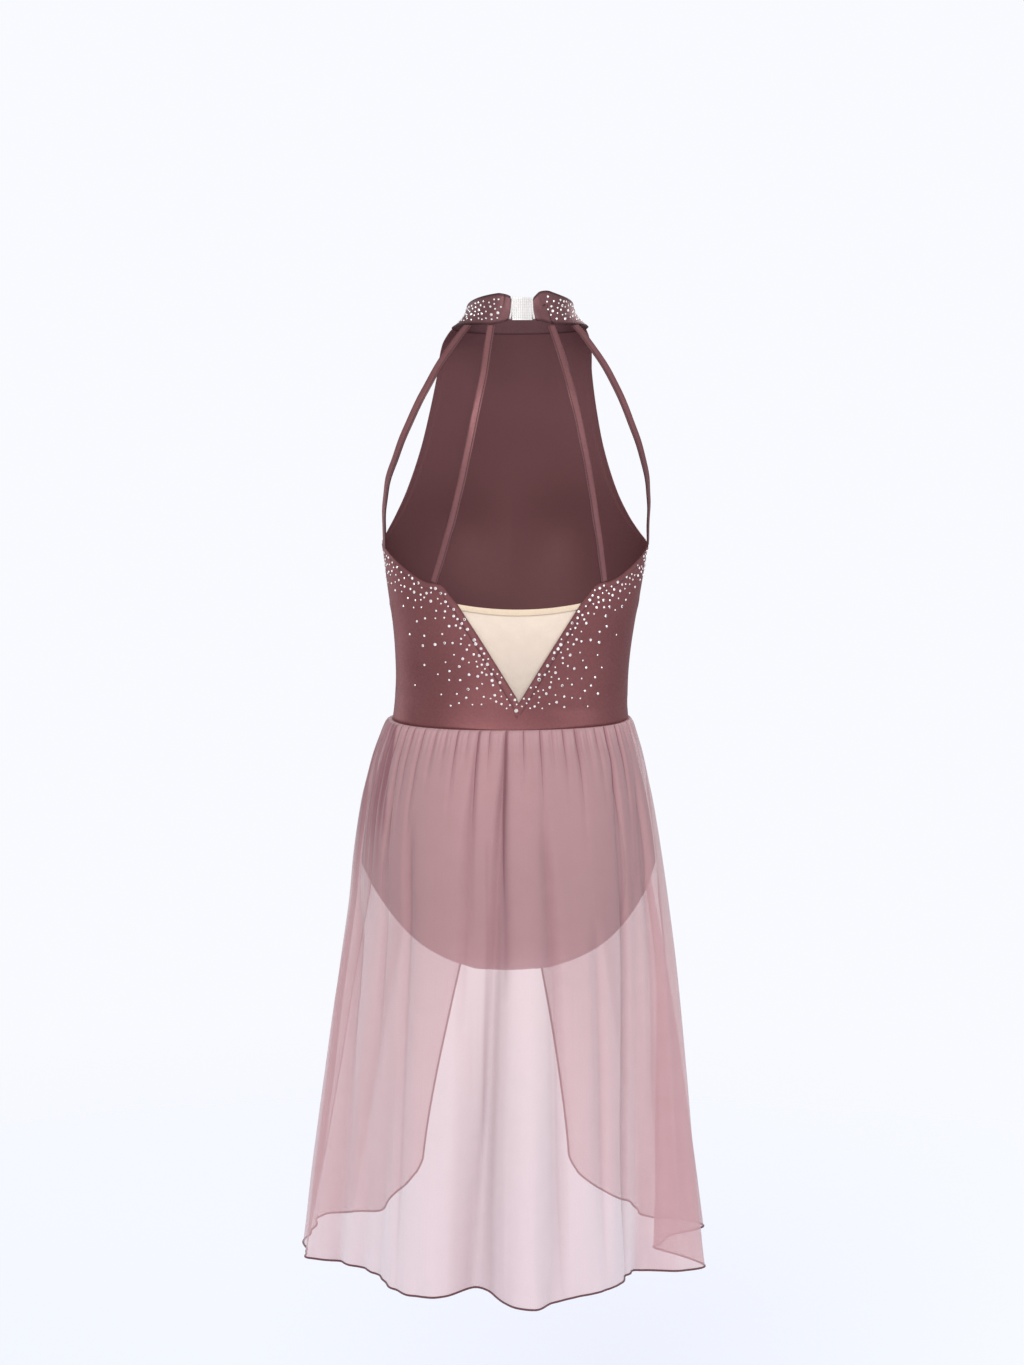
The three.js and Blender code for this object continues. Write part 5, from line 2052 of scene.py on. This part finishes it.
    def build(self) -> None:
        """Builds the stones of the back, sides and collar."""
        chance = np.random.default_rng(self.seed)
        back = self.back_places(chance)
        log.info("%d stones on the back and sides", len(back))
        self.stones("back_rhinestones", back, self.form.body, self.lifts[0], chance)
        collar = self.collar_places(chance)
        log.info("%d stones on the collar", len(collar))
        self.stones("collar_rhinestones", collar, self.form.collar, self.lifts[1], chance)


@dataclass
class Studio:
    """A pale floor, soft light and the camera."""

    floor_z: float = -1.42
    distance: float = 3.0
    height: float = 0.043
    sideways: float = 0.007
    turn: float = 3.5
    tilt: float = 7.829
    lens: float = 79.12
    floor_radius: float = 3.2
    seen: tuple[Colour, float] = ((0.945, 0.958, 1.0), 1.0)
    lit: tuple[Colour, float] = ((0.95, 0.97, 1.0), 0.50)
    warm: Colour = (1.0, 0.985, 0.97)
    cool: Colour = (0.95, 0.975, 1.0)
    aim_z: float = -0.45

    def floor(self) -> None:
        """Models the floor, a disc of paper that fades out towards its rim."""
        bpy.ops.object.select_all(action="DESELECT")
        bpy.ops.mesh.primitive_circle_add(
            vertices=96, radius=self.floor_radius, fill_type="NGON", location=(0, 0, self.floor_z))
        ground = bpy.context.object
        ground.name = "studio_floor"
        bpy.ops.object.transform_apply(location=True, rotation=True, scale=True)
        g = Graph("studio_paper")
        away = g.out("VectorMath", {"operation": "LENGTH"}, {0: g.place()}, "Value")
        paper = g.dress(
            Base_Color=g.blend(g.noise(0.8, 2), (0.74, 0.765, 0.86), (0.76, 0.785, 0.88)),
            Roughness=0.95,
            Alpha=away.span(1.5, 3.1, 1.0, 0.0),
            Emission_Color=(0.93, 0.95, 1.0),
            Emission_Strength=0.22)
        put_on(paper, ground)

    def world(self) -> None:
        """A bright pale surround, dimmer as a light than it looks."""
        world = bpy.data.worlds.new("studio")
        bpy.context.scene.world = world
        world.use_nodes = True
        nodes, links = world.node_tree.nodes, world.node_tree.links
        nodes.clear()
        kinds = ("ShaderNodeLightPath", "ShaderNodeMixShader", "ShaderNodeOutputWorld")
        path, blend, out = (nodes.new(kind) for kind in kinds)
        for socket, (colour, strength) in ((1, self.lit), (2, self.seen)):
            sky = nodes.new("ShaderNodeBackground")
            sky.inputs[0].default_value = (*colour, 1)
            sky.inputs[1].default_value = strength
            links.new(sky.outputs[0], blend.inputs[socket])
        links.new(path.outputs["Is Camera Ray"], blend.inputs[0])
        links.new(blend.outputs[0], out.inputs[0])

    def light(self, name: str, azimuth: float, height: float, away: float, size: float, power: float,
              colour: Colour) -> None:
        """Adds a large soft light that looks at the dress.

        Args:
            name: the light's name.
            azimuth: degrees from straight in front of the dress, towards its left.
            height: its height in metres.
            away: its distance.
            size: its side.
            power: its power in watts.
            colour: its colour.
        """
        data = bpy.data.lights.new(name, "AREA")
        data.shape, data.size, data.energy, data.color = "SQUARE", size, power, colour
        lamp = bpy.data.objects.new(name, data)
        bpy.context.scene.collection.objects.link(lamp)
        a = math.radians(azimuth)
        lamp.location = (away * math.sin(a), -away * math.cos(a), height)
        aim = np.array([0, 0, self.aim_z]) - np.array(lamp.location)
        lamp.rotation_euler = (math.acos(-aim[2] / np.linalg.norm(aim)), 0, math.atan2(-aim[0], aim[1]))

    def camera(self) -> None:
        """Sets the camera behind the dress, a little to its left and just above the collar."""
        data = bpy.data.cameras.new("camera")
        data.lens, data.sensor_width, data.sensor_fit = self.lens, 36.0, "AUTO"
        data.clip_end = 200
        camera = bpy.data.objects.new("camera", data)
        bpy.context.scene.collection.objects.link(camera)
        t = math.radians(self.turn)
        away, across = np.array([math.sin(t), math.cos(t)]), np.array([math.cos(t), -math.sin(t)])
        spot = away * self.distance + across * self.sideways
        camera.location = (spot[0], spot[1], self.height)
        camera.rotation_euler = (math.radians(90 - self.tilt), 0, math.radians(180 - self.turn))
        bpy.context.scene.camera = camera

    def build(self) -> None:
        """Builds the floor, surround, lights and camera."""
        self.floor()
        self.world()
        self.light("key", 167, 1.1, 3.5, 2.0, 90, self.warm)
        self.light("fill", 225, 0.5, 3.6, 2.6, 26, self.cool)
        self.light("front_key", -35, 1.3, 3.4, 2.2, 46, self.warm)
        self.light("front_fill", 50, 0.3, 3.6, 2.6, 26, self.cool)
        self.camera()
        scene = bpy.context.scene
        scene.view_settings.view_transform = "Standard"
        scene.view_settings.look = "None"


def main() -> None:
    """Builds the dress and the studio."""
    logging.basicConfig(level=logging.INFO, format="%(name)s: %(message)s")
    form = DressForm()
    kinds = (Leotard, VInsert, Collar, Clasp, Straps, Skirt, Rhinestones)
    for part in (*(kind(form) for kind in kinds), Studio()):
        log.info("building %s", type(part).__name__)
        part.build()


if __name__ == "__main__":
    main()
